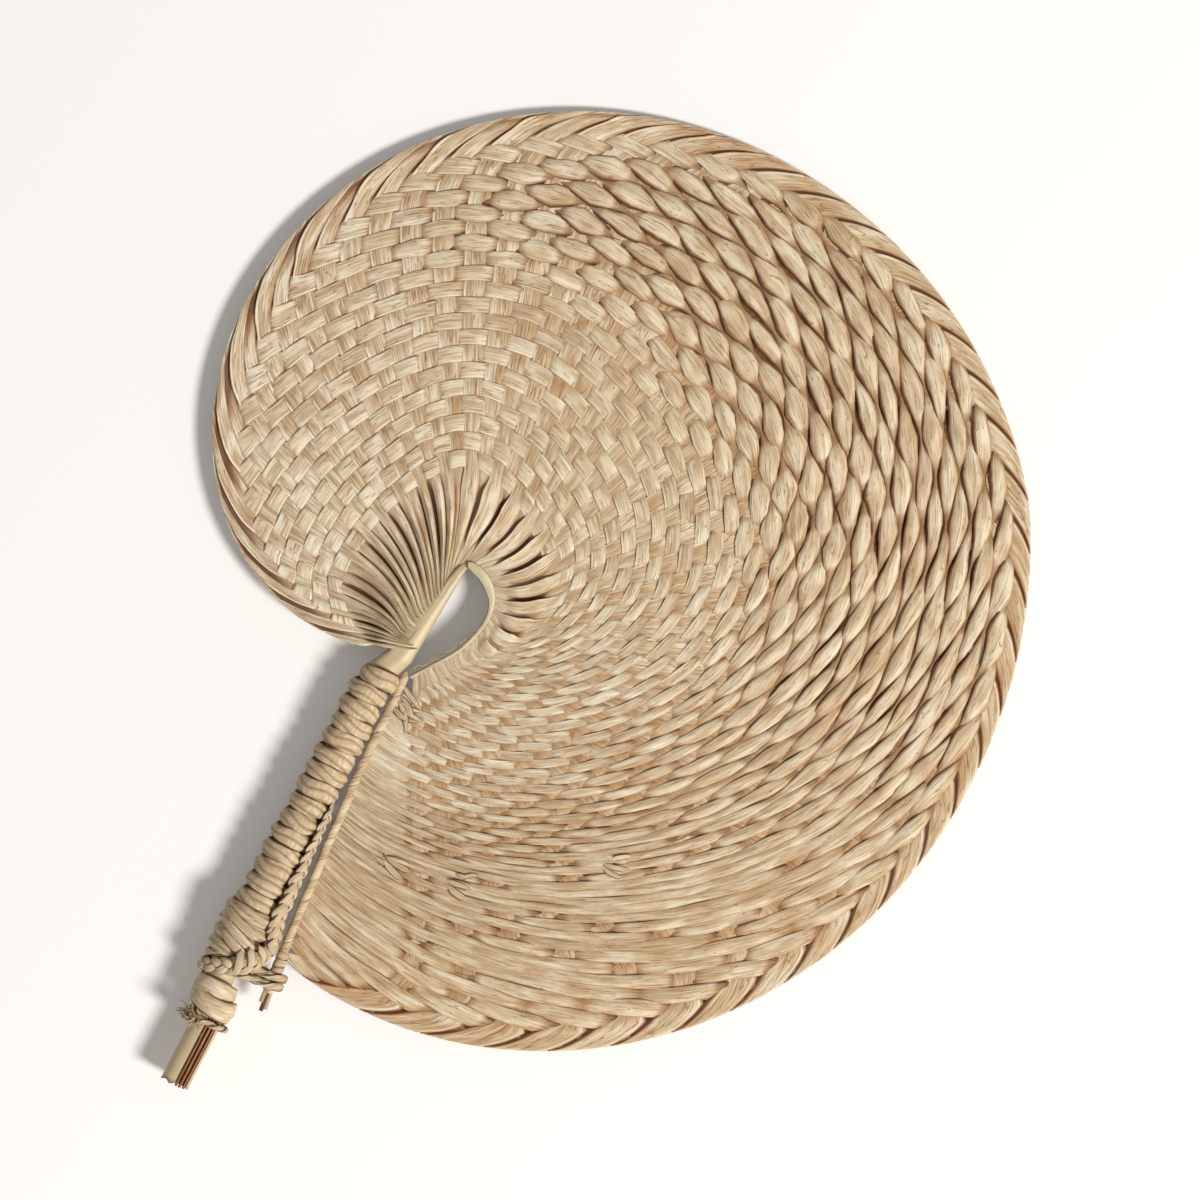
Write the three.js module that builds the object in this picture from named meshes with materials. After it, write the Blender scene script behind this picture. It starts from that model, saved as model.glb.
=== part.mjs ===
import * as THREE from 'three';

// Plaited palm-leaf hand fan, lying flat: handle toward -Y, blade toward +Y, front face up. Millimetres.
// It is laid out about the hub point, level with the stalk's middle, and set down on its bottom centre last.

// Gap left between neighbouring pieces
const CLEARANCE = 0.3;

// Leaf strips: each is a stake from the hub to the rim, then a weaver from the rim back toward the hub
const STRIP_COUNT = 44;
const STRIP_THICKNESS = 0.45;
const STRIP_WIDTH = 9;
const STAKE_SHARE = 0.5;
const WEAVER_SHARE = 0.82;
const LANE_LIMIT = 31;
const WEAVE_SLACK = 0.12;
const HUB_MARGIN = 20;
const PLEAT_HEIGHT = 4;
const STAKE_STEP = 30;
const RIM_LANES = [5, 3.2, 2, 1.2];

// Blade outline about the hub point: radii, and angles in degrees clockwise from +Y
const RIM_START_ANGLE = 217.5;
const RIM_PEAK_ANGLE = 412.5;
const RIM_END_ANGLE = 537.5;
const RIM_START_RADIUS = 37.3;
const RIM_PEAK_RADIUS = 199.6;
const RIM_END_RADIUS = 137;
const RIM_RISE = 1.22;
const RIM_FALL = 1.15;
const RIM_CROWDING = 0.43;
const RIM_LEAN = 1;
const RIM_BAND = 9;
const RIM_START_ROOM = 1;
const RIM_END_ROOM = 0.8;

// Line that the strips spring from, round the hub hole: up the leaf base, over its tip, down the far side
const HUB_LINE = [
  [-13.4, -26.2],
  [-8.6, -5.7],
  [-2.4, 14.2],
  [5, 14],
  [12.3, 7.6],
  [14.1, -1.2],
  [10.9, -13.6],
  [3.5, -25.2],
  [-1.3, -32.3],
];
const HUB_START_ROOM = 1;
const HUB_END_ROOM = 1.6;
const HEM_WIDTH = 2.2;
const HEM_HEIGHT = 3.2;
const HEM_START = 0.49;
const HEM_END = 0.95;

// Leaf stalk
const STUB_LENGTH = 24;
const STALK_TIP_Y = 12.6;
const HOLE_EDGE_LOW_X = -3.3;
const HOLE_EDGE_TIP_X = -1.2;
const HANDLE_X = -12.2;
const STUB_X = -8.8;
const STALK_HALF_WIDTH = 5;
const STALK_NECK_HALF_WIDTH = 4.2;
const STALK_FLATNESS = 0.9;
const SPLINT_COUNT = 3;
const SPLINT_WIDTH = 0.8;
const SPLINT_HEIGHT = 3.4;
const GROOVE_DEPTH = 4.2;
const GROOVE_LENGTH = 38;

// Windings: the width of the strip along the handle, its thickness, and the turns
const WRAP_TOP_Y = -38;
const WRAP_PITCH = 6.2;
const WRAP_TURNS = 13.6;
const WRAP_THICKNESS = 2.4;
const LASHING_TURNS = 2.5;
const LASHING_THICKNESS = 4.3;
const COLLAR_PITCH = 5;
const COLLAR_TURNS = 2.1;
const COLLAR_THICKNESS = 2.3;
const KNOT_WIDTH = 2.6;
const KNOT_TURNS = 0.9;
const LOOP_GAP = 0.6;
const LOOP_STEPS = 18;
const RIDGE_HITCHES = 7;
const RIDGE_RADIUS = 2;
const RIDGE_ANGLE = 38;

// Stick along the blade's free edge, and the loop that ties it to the stalk
const RIB_RADIUS = 1.6;
const RIB_TAIL = 3;
const RIB_LASHING_TURNS = 1.5;
const RIB_LASHING_WIDTH = 2.4;
const RIB_LASHING_THICKNESS = 1.8;

const DEGREE = Math.PI / 180;
const WEAVE_HEIGHT = (STRIP_THICKNESS + CLEARANCE + WEAVE_SLACK) / (1 - STAKE_SHARE);
const LAST_STRIP = STRIP_COUNT - 1;
const WRAP_WIDTH = WRAP_PITCH - LOOP_GAP;
const WRAP_END_Y = WRAP_TOP_Y - WRAP_TURNS * WRAP_PITCH;
const WRAP_START_ANGLE = 200;
const LASHING_BREAK = 60;
const LASHING_START_ANGLE = WRAP_START_ANGLE - 360 * WRAP_TURNS - LASHING_BREAK;
const LASHING_TOP_Y = WRAP_END_Y - WRAP_PITCH * LASHING_BREAK / 360;
const LASHING_END_Y = LASHING_TOP_Y - LASHING_TURNS * WRAP_PITCH;
const RIDGE_END_Y = LASHING_TOP_Y + WRAP_WIDTH / 2 + LOOP_GAP;
const RIDGE_TOP_Y = RIDGE_END_Y + RIDGE_HITCHES * WRAP_PITCH;
const COLLAR_WIDTH = COLLAR_PITCH - LOOP_GAP;
const RIB_LASHING_PITCH = RIB_LASHING_WIDTH + LOOP_GAP;
const RIB_LASHING_ROOM = RIB_LASHING_TURNS * RIB_LASHING_PITCH + RIB_LASHING_WIDTH + 2 * LOOP_GAP;
const RIB_LASHING_Y = LASHING_END_Y - (WRAP_WIDTH + RIB_LASHING_ROOM) / 2;
const COLLAR_TOP_Y = RIB_LASHING_Y - (RIB_LASHING_ROOM + COLLAR_WIDTH) / 2;
const COLLAR_END_Y = COLLAR_TOP_Y - COLLAR_TURNS * COLLAR_PITCH;
const KNOT_Y = COLLAR_END_Y - (COLLAR_WIDTH + KNOT_WIDTH) / 2 - LOOP_GAP;
const BUTT_Y = KNOT_Y - STUB_LENGTH;
const GROOVE_END_Y = BUTT_Y + GROOVE_LENGTH;
const PLAIN_DEPTH = 0.3;

const mix = THREE.MathUtils.lerp;
const clamp = THREE.MathUtils.clamp;

// Radius of the blade's outline: it rises from the lobe beside the handle, then falls to the free edge
function rimRadius(angle) {
  if (angle <= RIM_PEAK_ANGLE) {
    const rise = (angle - RIM_START_ANGLE) / (RIM_PEAK_ANGLE - RIM_START_ANGLE);
    return mix(RIM_START_RADIUS, RIM_PEAK_RADIUS, Math.sin(rise * Math.PI / 2) ** RIM_RISE);
  }
  const fall = (angle - RIM_PEAK_ANGLE) / (RIM_END_ANGLE - RIM_PEAK_ANGLE);
  return mix(RIM_PEAK_RADIUS, RIM_END_RADIUS, fall ** RIM_FALL);
}

class RimCurve extends THREE.Curve {
  getPoint(t, target = new THREE.Vector3()) {
    const angle = mix(RIM_START_ANGLE, RIM_END_ANGLE, t);
    const radius = rimRadius(angle);
    return target.set(radius * Math.sin(angle * DEGREE), radius * Math.cos(angle * DEGREE), 0);
  }
}

const rim = new RimCurve();
const hubPoints = HUB_LINE.map(([x, y]) => new THREE.Vector3(x, y, 0));
const hub = new THREE.CatmullRomCurve3(hubPoints, false, 'centripetal');
rim.arcLengthDivisions = 500;
hub.arcLengthDivisions = 300;

// Point at a share of a curve's length, running straight on past its ends
function along(curve, share) {
  const inside = clamp(share, 0, 1);
  const point = curve.getPointAt(inside);
  if (inside !== share) {
    point.addScaledVector(curve.getTangentAt(inside), (share - inside) * curve.getLength());
  }
  return point;
}

function hubShare(index) {
  return (index + HUB_START_ROOM) / (LAST_STRIP + HUB_START_ROOM + HUB_END_ROOM);
}

// The folds stand closer together on the lobe than near the free edge
function rimPoint(index) {
  const share = (index + RIM_START_ROOM) / (LAST_STRIP + RIM_START_ROOM + RIM_END_ROOM);
  return along(rim, (1 - RIM_CROWDING) * share + RIM_CROWDING * share * share);
}

// The blade sags from the hub to its far rim, so that the rim and the handle's bulge both touch the table
function bladeHeight(index, point) {
  const spread = Math.sin(Math.PI * clamp(hubShare(index), 0, 1)) ** 0.6;
  const reach = Math.hypot(point.x, point.y) / RIM_PEAK_RADIUS;
  return -(bulgeRadius - WEAVE_HEIGHT) * spread * reach ** 1.5;
}

// Point of the blade between the hub (share 0) and the rim (share 1) at a strip's index, whole or not.
// Near the rim the stakes lean over toward their fold.
function bladePoint(index, share, lift) {
  const root = along(hub, hubShare(index));
  const depth = (1 - share) * root.distanceTo(rimPoint(index));
  const lean = RIM_LEAN * (1 - Math.exp(-depth / RIM_BAND));
  root.lerp(rimPoint(index - lean), share);
  root.z = bladeHeight(index, root) + lift;
  return root;
}

// Share at which the weave begins on a stake
function innerShare(index) {
  return Math.min(0.4, HUB_MARGIN / along(hub, hubShare(index)).distanceTo(rimPoint(index)));
}

// Lanes side by side at an index: one more for each strip folded so far, levelling off at the limit
function laneCount(index) {
  return (Math.max(index, 2.2) ** -4 + LANE_LIMIT ** -4) ** -0.25;
}

function laneShare(index, lane) {
  return 1 - (1 - innerShare(index)) * lane / laneCount(index);
}

// Closed body through rings of points; caps are triangles over one ring, closed rings of rings have none
function body(rings, caps) {
  const count = rings[0].length;
  const positions = [];
  const faces = [];
  for (const ring of rings) {
    for (const point of ring) {
      positions.push(point.x, point.y, point.z);
    }
  }
  for (let r = 0; r + 1 < rings.length; r += 1) {
    for (let m = 0; m < count; m += 1) {
      const a = r * count + m;
      const b = r * count + (m + 1) % count;
      faces.push(a, b, b + count, a, b + count, a + count);
    }
  }
  const last = (rings.length - 1) * count;
  for (const [a, b, c] of caps) {
    faces.push(a, c, b, last + a, last + b, last + c);
  }
  let volume = 0;
  const corner = [0, 1, 2].map(() => new THREE.Vector3());
  for (let f = 0; f < faces.length; f += 3) {
    corner.forEach((v, k) => v.fromArray(positions, faces[f + k] * 3));
    volume += corner[0].dot(corner[1].clone().cross(corner[2]));
  }
  if (volume < 0) {
    faces.reverse();
  }
  const geometry = new THREE.BufferGeometry();
  geometry.setAttribute('position', new THREE.Float32BufferAttribute(positions, 3));
  geometry.setIndex(faces);
  geometry.computeVertexNormals();
  return geometry;
}

function fanCaps(count) {
  const caps = [];
  for (let m = 1; m + 1 < count; m += 1) {
    caps.push([0, m, m + 1]);
  }
  return caps;
}

// Ring of a flat strip between its two edges, with its height
function stripRing(left, right, height) {
  const up = new THREE.Vector3(0, 0, height / 2);
  return [left.clone().sub(up), right.clone().sub(up), right.clone().add(up), left.clone().add(up)];
}

// Half of a stake's width, in strip indices
function stakeHalf(index, share) {
  const room = bladePoint(index - 0.5, share, 0).distanceTo(bladePoint(index + 0.5, share, 0));
  return Math.min(STAKE_SHARE, STRIP_WIDTH / room) / 2;
}

function stakeRing(index, share, height) {
  const half = stakeHalf(index, share);
  return stripRing(bladePoint(index - half, share, 0), bladePoint(index + half, share, 0), height);
}

// Edge of a weaver where it stops short of the rib
function weaverEnd(strip, side) {
  let near = Math.max(LAST_STRIP, strip + 0.3);
  let far = LAST_STRIP + HUB_END_ROOM + RIM_LEAN + 0.5;
  for (let turn = 0; turn < 40; turn += 1) {
    const middle = (near + far) / 2;
    const edge = bladePoint(middle, laneShare(middle, middle - strip + side), 0);
    if (ribDistance(edge) > RIB_RADIUS + CLEARANCE * 1.5) {
      near = middle;
    } else {
      far = middle;
    }
  }
  return bladePoint(near, laneShare(near, near - strip + side), 0);
}

function leafStrip(strip) {
  const rings = [];
  const side = WEAVER_SHARE / 2;
  const inner = innerShare(strip);
  for (const [share, height] of [[0, PLEAT_HEIGHT], [0.45, mix(PLEAT_HEIGHT, STRIP_THICKNESS, 0.6)]]) {
    rings.push(stakeRing(strip, share * inner, height));
  }
  const flat = 0.8 * inner;
  const leaning = RIM_LANES.map((lane) => laneShare(strip, lane)).filter((share) => share > flat * 1.1);
  const length = bladePoint(strip, flat, 0).distanceTo(bladePoint(strip, leaning[0], 0));
  const steps = Math.max(1, Math.ceil(length / STAKE_STEP));
  for (let step = 0; step < steps; step += 1) {
    rings.push(stakeRing(strip, mix(flat, leaning[0], step / steps), STRIP_THICKNESS));
  }
  for (const share of leaning) {
    rings.push(stakeRing(strip, share, STRIP_THICKNESS));
  }
  const half = stakeHalf(strip, 1);
  const folds = [
    [-half, 0.25, half, 0.85, 0],
    [-0.05, -0.15, half + 0.04, 0.8, 0.1],
    [0.45, -0.05, 0.7, 1.1, 0.6],
  ];
  for (const [outer, outerLane, within, innerLane, lift] of folds) {
    rings.push(stripRing(
      bladePoint(strip + outer, laneShare(strip + outer, outerLane), lift * WEAVE_HEIGHT),
      bladePoint(strip + within, laneShare(strip + within, innerLane), lift * WEAVE_HEIGHT),
      STRIP_THICKNESS,
    ));
  }
  let crossing = 1;
  let ended = false;
  while (strip + crossing <= LAST_STRIP && !ended) {
    const index = strip + crossing;
    const lift = crossing % 2 === 1 ? WEAVE_HEIGHT : -WEAVE_HEIGHT;
    rings.push(stripRing(
      bladePoint(index, laneShare(index, crossing - side), lift),
      bladePoint(index, laneShare(index, crossing + side), lift),
      STRIP_THICKNESS,
    ));
    ended = (crossing + 1) / laneCount(index + 1) > 1.02 && crossing > 1;
    if (ended) {
      const past = index + 0.3;
      rings.push(stripRing(
        bladePoint(past, laneShare(past, crossing + 0.3 - side), lift * 0.4),
        bladePoint(past, laneShare(past, crossing + 0.3 + side), lift * 0.4),
        STRIP_THICKNESS,
      ));
    }
    crossing += 1;
  }
  if (!ended) {
    rings.push(stripRing(weaverEnd(strip, -side), weaverEnd(strip, side), STRIP_THICKNESS));
  }
  return body(rings, fanCaps(4));
}

// Leaf base: the stalk's upper end, from the hub line to the hole's straight edge
function leafBaseSection(share) {
  const point = hub.getPointAt(share);
  const low = hub.getPointAt(0).y;
  const rise = (point.y - low) / (STALK_TIP_Y - low);
  const left = point.x + CLEARANCE * 1.6;
  const right = mix(HOLE_EDGE_LOW_X, HOLE_EDGE_TIP_X, rise);
  const b = mix(STALK_NECK_HALF_WIDTH * STALK_FLATNESS, 1.8, rise);
  return { y: point.y, x: (left + right) / 2, a: (right - left) / 2, b, groove: PLAIN_DEPTH };
}

// Share of the way from one height on the handle to another
function between(y, low, high) {
  return clamp((y - low) / (high - low), 0, 1);
}

// The stub is set over from the wrapped handle, and the handle thins toward the leaf base
function handleSection(y) {
  const over = between(y, KNOT_Y, COLLAR_TOP_Y);
  const x = mix(STUB_X, HANDLE_X, over * over * (3 - 2 * over)) + between(y, WRAP_TOP_Y - 3, WRAP_TOP_Y + 3);
  const a = mix(STALK_HALF_WIDTH, STALK_NECK_HALF_WIDTH, between(y, WRAP_END_Y, WRAP_TOP_Y - 3));
  const groove = mix(GROOVE_DEPTH, PLAIN_DEPTH, between(y, GROOVE_END_Y, GROOVE_END_Y + 3));
  return { y, x, a, b: a * STALK_FLATNESS, groove };
}

function stalkSections() {
  const levels = [
    BUTT_Y, KNOT_Y, mix(KNOT_Y, COLLAR_TOP_Y, 0.33), mix(KNOT_Y, COLLAR_TOP_Y, 0.67), COLLAR_TOP_Y,
    GROOVE_END_Y, GROOVE_END_Y + 3, WRAP_END_Y, WRAP_TOP_Y - 3, WRAP_TOP_Y + 3,
  ].sort((p, q) => p - q);
  const sections = levels.filter((y, k) => k === 0 || y - levels[k - 1] > 0.3).map(handleSection);
  for (const share of [0.005, 0.07, 0.14, 0.21, 0.28, 0.35, 0.395]) {
    sections.push(leafBaseSection(share));
  }
  return sections;
}

const stalk = stalkSections();

function stalkAt(y) {
  let k = 1;
  while (k + 1 < stalk.length && stalk[k].y < y) {
    k += 1;
  }
  const share = clamp((y - stalk[k - 1].y) / (stalk[k].y - stalk[k - 1].y), 0, 1);
  const mixed = {};
  for (const key of ['x', 'a', 'b']) {
    mixed[key] = mix(stalk[k - 1][key], stalk[k][key], share);
  }
  mixed.reach = Math.max(Math.hypot(mixed.a, 0.45 * mixed.b), Math.hypot(0.7 * mixed.a, mixed.b));
  return mixed;
}

// Distance from the stalk's middle to the outside of a winding of this thickness
function windingOuter(y, thickness) {
  return (stalkAt(y).reach + CLEARANCE) / Math.cos(Math.PI / LOOP_STEPS) + thickness;
}

const bulgeRadius = windingOuter(LASHING_TOP_Y, LASHING_THICKNESS);
const grooveWidth = SPLINT_COUNT * SPLINT_WIDTH + (SPLINT_COUNT + 1) * CLEARANCE;

// Left wall of the groove, a little left of the stalk's middle
function grooveLeft(section) {
  return section.x + 0.62 * section.a - grooveWidth;
}

function leafStalk() {
  const rings = stalk.map((section) => {
    const { y, x, a, b, groove } = section;
    const width = Math.min(grooveWidth, 0.8 * a);
    const right = x + 0.62 * a;
    const left = right - width;
    const floor = b - Math.min(groove, b * 1.2);
    return [
      [x - 0.7 * a, -b], [x + 0.7 * a, -b], [x + a, -0.45 * b], [x + a, 0.45 * b],
      [x + 0.7 * a, b], [right, b], [right, floor], [left, floor], [left, b],
      [x - 0.7 * a, b], [x - a, 0.45 * b], [x - a, -0.45 * b],
    ].map(([px, pz]) => new THREE.Vector3(px, y, pz));
  });
  const caps = [
    [0, 1, 6], [0, 6, 7], [1, 2, 6], [2, 3, 6], [3, 5, 6], [3, 4, 5],
    [0, 7, 11], [11, 7, 10], [10, 7, 8], [10, 8, 9],
  ];
  return body(rings, caps);
}

function stalkSplint(k) {
  const rings = [];
  for (const section of stalk) {
    if (section.y < GROOVE_END_Y + CLEARANCE) {
      const left = grooveLeft(section) + CLEARANCE + k * (SPLINT_WIDTH + CLEARANCE);
      const floor = section.b - section.groove + CLEARANCE;
      const top = floor + SPLINT_HEIGHT;
      const y = Math.min(section.y, GROOVE_END_Y - CLEARANCE);
      rings.push([
        new THREE.Vector3(left, y, floor), new THREE.Vector3(left + SPLINT_WIDTH, y, floor),
        new THREE.Vector3(left + SPLINT_WIDTH, y, top), new THREE.Vector3(left, y, top),
      ]);
    }
  }
  return body(rings, fanCaps(4));
}

function hubHem() {
  const rings = [];
  const steps = 16;
  for (let step = 0; step <= steps; step += 1) {
    const share = mix(HEM_START, HEM_END, step / steps);
    const point = hub.getPointAt(share);
    const run = hub.getTangentAt(share);
    const inward = new THREE.Vector3(run.y, -run.x, 0);
    const outerEdge = point.clone().addScaledVector(inward, CLEARANCE * 1.6);
    const innerEdge = outerEdge.clone().addScaledVector(inward, HEM_WIDTH);
    rings.push(stripRing(outerEdge, innerEdge, HEM_HEIGHT));
  }
  return body(rings, fanCaps(4));
}

// Six-sided section of a winding's strip: flat faces in and out, ridged edges
function windingRing(centre, outward, across, width, thickness) {
  return [[1, 0], [0.62, 1], [-0.62, 1], [-1, 0], [-0.62, -1], [0.62, -1]].map(([w, t]) => centre.clone()
    .addScaledVector(across, w * width / 2)
    .addScaledVector(outward, t * thickness / 2));
}

// Least gap between turns of a winding, over the points of its rings
function leastGap(rings, stepsPerTurn) {
  let least = Infinity;
  for (let a = 0; a < rings.length; a += 1) {
    for (let b = a + Math.ceil(stepsPerTurn / 2); b < rings.length; b += 1) {
      for (const p of rings[a]) {
        for (const q of rings[b]) {
          least = Math.min(least, p.distanceTo(q));
        }
      }
    }
  }
  return least;
}

// One unbroken strip wound along a path round the handle; its ends run straight on
function winding(name, path, stepsPerTurn, width, thickness, tail) {
  const axis = new THREE.Vector3(0, 1, 0);
  const frames = path.map((point, k) => {
    const before = path[Math.max(k - 1, 0)];
    const after = path[Math.min(k + 1, path.length - 1)];
    const run = after.clone().sub(before).normalize();
    const outward = run.clone().cross(axis).normalize();
    return { point, run, outward, across: outward.clone().cross(run).normalize() };
  });
  const first = frames[0];
  const final = frames[frames.length - 1];
  frames.unshift({ ...first, point: first.point.clone().addScaledVector(first.run, -tail) });
  frames.push({ ...final, point: final.point.clone().addScaledVector(final.run, tail) });
  const rings = frames.map((f) => windingRing(f.point, f.outward, f.across, width, thickness));
  console.log(`${name}: least gap between turns ${leastGap(rings, stepsPerTurn).toFixed(2)} mm`);
  return body(rings, fanCaps(6));
}

// Path of turns down the stalk, starting at an angle about its axis measured from +X toward +Z
function turnsPath(top, pitch, turns, thickness, startAngle) {
  const path = [];
  const steps = Math.round(turns * LOOP_STEPS);
  for (let step = 0; step <= steps; step += 1) {
    const y = top - pitch * step / LOOP_STEPS;
    const angle = startAngle * DEGREE - 2 * Math.PI * step / LOOP_STEPS;
    const radius = windingOuter(y, thickness) - thickness / 2;
    path.push(new THREE.Vector3(stalkAt(y).x + radius * Math.cos(angle), y, radius * Math.sin(angle)));
  }
  return path;
}

function handleWrap() {
  const path = turnsPath(WRAP_TOP_Y, WRAP_PITCH, WRAP_TURNS, WRAP_THICKNESS, WRAP_START_ANGLE);
  return winding('handle_wrap', path, LOOP_STEPS, WRAP_WIDTH, WRAP_THICKNESS, WRAP_THICKNESS);
}

function buttLashing() {
  const path = turnsPath(LASHING_TOP_Y, WRAP_PITCH, LASHING_TURNS, LASHING_THICKNESS, LASHING_START_ANGLE);
  return winding('butt_lashing', path, LOOP_STEPS, WRAP_WIDTH, LASHING_THICKNESS, WRAP_THICKNESS);
}

function buttCollar() {
  const path = turnsPath(COLLAR_TOP_Y, COLLAR_PITCH, COLLAR_TURNS, COLLAR_THICKNESS, 230);
  return winding('butt_collar', path, LOOP_STEPS, COLLAR_WIDTH, COLLAR_THICKNESS, COLLAR_THICKNESS);
}

function buttKnot() {
  const path = turnsPath(KNOT_Y, KNOT_WIDTH + LOOP_GAP, KNOT_TURNS, KNOT_WIDTH, 200);
  return winding('butt_knot', path, LOOP_STEPS, KNOT_WIDTH, KNOT_WIDTH, KNOT_WIDTH);
}

// Rib line, straight from the hub line's end past the rim's end
const ribTop = along(hub, 1);
const ribRim = along(rim, 1);
const ribRun = ribRim.clone().sub(ribTop).normalize();

// Distance from the rib's line toward the blade
function ribDistance(point) {
  const offset = point.clone().sub(ribTop);
  return offset.y * ribRun.x - offset.x * ribRun.y;
}

function ribPoint(distance) {
  return ribTop.clone().addScaledVector(ribRun, distance);
}

function edgeRib() {
  const rings = [];
  const total = (RIB_LASHING_Y - RIB_LASHING_ROOM / 2 - RIB_TAIL - ribTop.y) / ribRun.y;
  const across = new THREE.Vector3(-ribRun.y, ribRun.x, 0);
  for (const [share, size] of [[0.02, 0.7], [0.2, 0.9], [0.5, 1], [0.8, 1], [1, 1]]) {
    const ring = [];
    for (let m = 0; m < 8; m += 1) {
      const angle = (m + 0.5) * Math.PI / 4;
      ring.push(ribPoint(total * share)
        .addScaledVector(across, RIB_RADIUS * size * Math.cos(angle))
        .add(new THREE.Vector3(0, 0, RIB_RADIUS * size * Math.sin(angle))));
    }
    rings.push(ring);
  }
  return body(rings, fanCaps(8));
}

// Loop round the stalk and the rib together, in the room between the bulge and the collar
function ribLashing() {
  const rib = ribTop.clone().addScaledVector(ribRun, (RIB_LASHING_Y - ribTop.y) / ribRun.y);
  const core = stalkAt(RIB_LASHING_Y);
  const smooth = 1 / Math.cos(Math.PI / LOOP_STEPS);
  const big = (core.reach + CLEARANCE) * smooth + RIB_LASHING_THICKNESS / 2;
  const small = (RIB_RADIUS + CLEARANCE) * smooth * 1.12 + RIB_LASHING_THICKNESS / 2;
  const tangent = Math.acos((big - small) / (rib.x - core.x));
  const loop = [];
  for (let step = 0; step <= 10; step += 1) {
    const angle = mix(2 * Math.PI - tangent, tangent, step / 10);
    loop.push([core.x + big * Math.cos(angle), big * Math.sin(angle)]);
  }
  for (let step = 0; step <= 6; step += 1) {
    const angle = mix(tangent, -tangent, step / 6);
    loop.push([rib.x + small * Math.cos(angle), small * Math.sin(angle)]);
  }
  const path = [];
  const steps = Math.round(loop.length * RIB_LASHING_TURNS);
  for (let step = 0; step < steps; step += 1) {
    const [x, z] = loop[step % loop.length];
    const y = RIB_LASHING_Y + RIB_LASHING_PITCH * (RIB_LASHING_TURNS / 2 - step / loop.length);
    path.push(new THREE.Vector3(x, y, z));
  }
  const tail = RIB_LASHING_THICKNESS;
  return winding('rib_lashing', path, loop.length, RIB_LASHING_WIDTH, RIB_LASHING_THICKNESS, tail);
}

// Row of half hitches along the wrap's right front, one bead for each turn
function wrapRidge() {
  const rings = [];
  const steps = 6;
  for (let step = 0; step <= RIDGE_HITCHES * steps; step += 1) {
    const y = RIDGE_TOP_Y - WRAP_PITCH * step / steps;
    const swell = 0.78 + 0.22 * Math.cos(2 * Math.PI * step / steps);
    const growth = mix(0.8, 1.15, step / (RIDGE_HITCHES * steps));
    const radius = RIDGE_RADIUS * swell * growth;
    const lean = (RIDGE_ANGLE + 6 * Math.sin(2 * Math.PI * step / steps)) * DEGREE;
    const away = windingOuter(y, WRAP_THICKNESS) + CLEARANCE + RIDGE_RADIUS * growth;
    const ring = [];
    for (let m = 0; m < 6; m += 1) {
      const angle = m * Math.PI / 3;
      ring.push(new THREE.Vector3(
        stalkAt(y).x + away * Math.cos(lean) + radius * Math.cos(angle),
        y,
        away * Math.sin(lean) + radius * Math.sin(angle),
      ));
    }
    rings.push(ring);
  }
  return body(rings, fanCaps(6));
}

const fan = new THREE.Group();
fan.name = 'palm_leaf_fan';

function add(name, geometry, color, roughness) {
  const mesh = new THREE.Mesh(geometry, new THREE.MeshStandardMaterial({ color, roughness, metalness: 0 }));
  mesh.name = name;
  fan.add(mesh);
}

for (let strip = 0; strip < STRIP_COUNT; strip += 1) {
  const shade = new THREE.Color(0xd9bf95).offsetHSL(0, 0, 0.03 * Math.sin(strip * 2.4));
  add(`leaf_strip_${String(strip + 1).padStart(2, '0')}`, leafStrip(strip), shade, 0.55);
}
add('leaf_stalk', leafStalk(), 0xd3c796, 0.45);
for (let k = 0; k < SPLINT_COUNT; k += 1) {
  add(`stalk_splint_${k + 1}`, stalkSplint(k), 0x8a5a33, 0.6);
}
add('hub_hem', hubHem(), 0xe2d2a8, 0.5);
add('handle_wrap', handleWrap(), 0xd6bb8c, 0.55);
add('wrap_ridge', wrapRidge(), 0xd0b382, 0.6);
add('butt_lashing', buttLashing(), 0xd3b787, 0.55);
add('rib_lashing', ribLashing(), 0xd0b382, 0.6);
add('butt_collar', buttCollar(), 0xd8be90, 0.55);
add('butt_knot', buttKnot(), 0xc9a871, 0.65);
add('edge_rib', edgeRib(), 0xd9c193, 0.5);

const box = new THREE.Box3().setFromObject(fan);
const middle = box.getCenter(new THREE.Vector3());
for (const mesh of fan.children) {
  mesh.geometry.translate(-middle.x, -middle.y, -box.min.z);
}

export default fan;
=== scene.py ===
"""Plaited palm-leaf hand fan lying flat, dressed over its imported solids.

Lengths are in millimetres, laid out about the hub point as the solids are, until a mesh is made of them.
"""

import math

import bmesh
import bpy
import numpy as np
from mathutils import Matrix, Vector
from numpy.linalg import norm


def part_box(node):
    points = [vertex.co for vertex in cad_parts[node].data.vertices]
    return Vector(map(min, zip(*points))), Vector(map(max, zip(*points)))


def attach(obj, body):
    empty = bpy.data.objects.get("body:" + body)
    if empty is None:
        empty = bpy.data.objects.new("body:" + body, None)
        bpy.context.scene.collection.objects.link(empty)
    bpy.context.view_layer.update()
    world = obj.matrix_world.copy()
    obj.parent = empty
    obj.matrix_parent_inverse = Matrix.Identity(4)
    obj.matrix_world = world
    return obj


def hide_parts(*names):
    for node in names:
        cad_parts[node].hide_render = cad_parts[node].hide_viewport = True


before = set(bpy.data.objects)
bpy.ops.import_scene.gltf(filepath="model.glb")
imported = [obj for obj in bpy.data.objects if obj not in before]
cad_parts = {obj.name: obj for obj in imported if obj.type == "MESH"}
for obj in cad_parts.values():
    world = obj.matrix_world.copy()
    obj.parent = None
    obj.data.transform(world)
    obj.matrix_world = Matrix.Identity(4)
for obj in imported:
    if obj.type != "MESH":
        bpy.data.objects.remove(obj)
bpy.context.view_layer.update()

# Layout: the stalk's left side and cut end place the layout in the stored frame
STALK_LEFT_X = -17.2
BUTT_Y = -190.55
STALK_LOW, STALK_HIGH = (np.array(corner) * 1000 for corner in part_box("leaf_stalk"))
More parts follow.
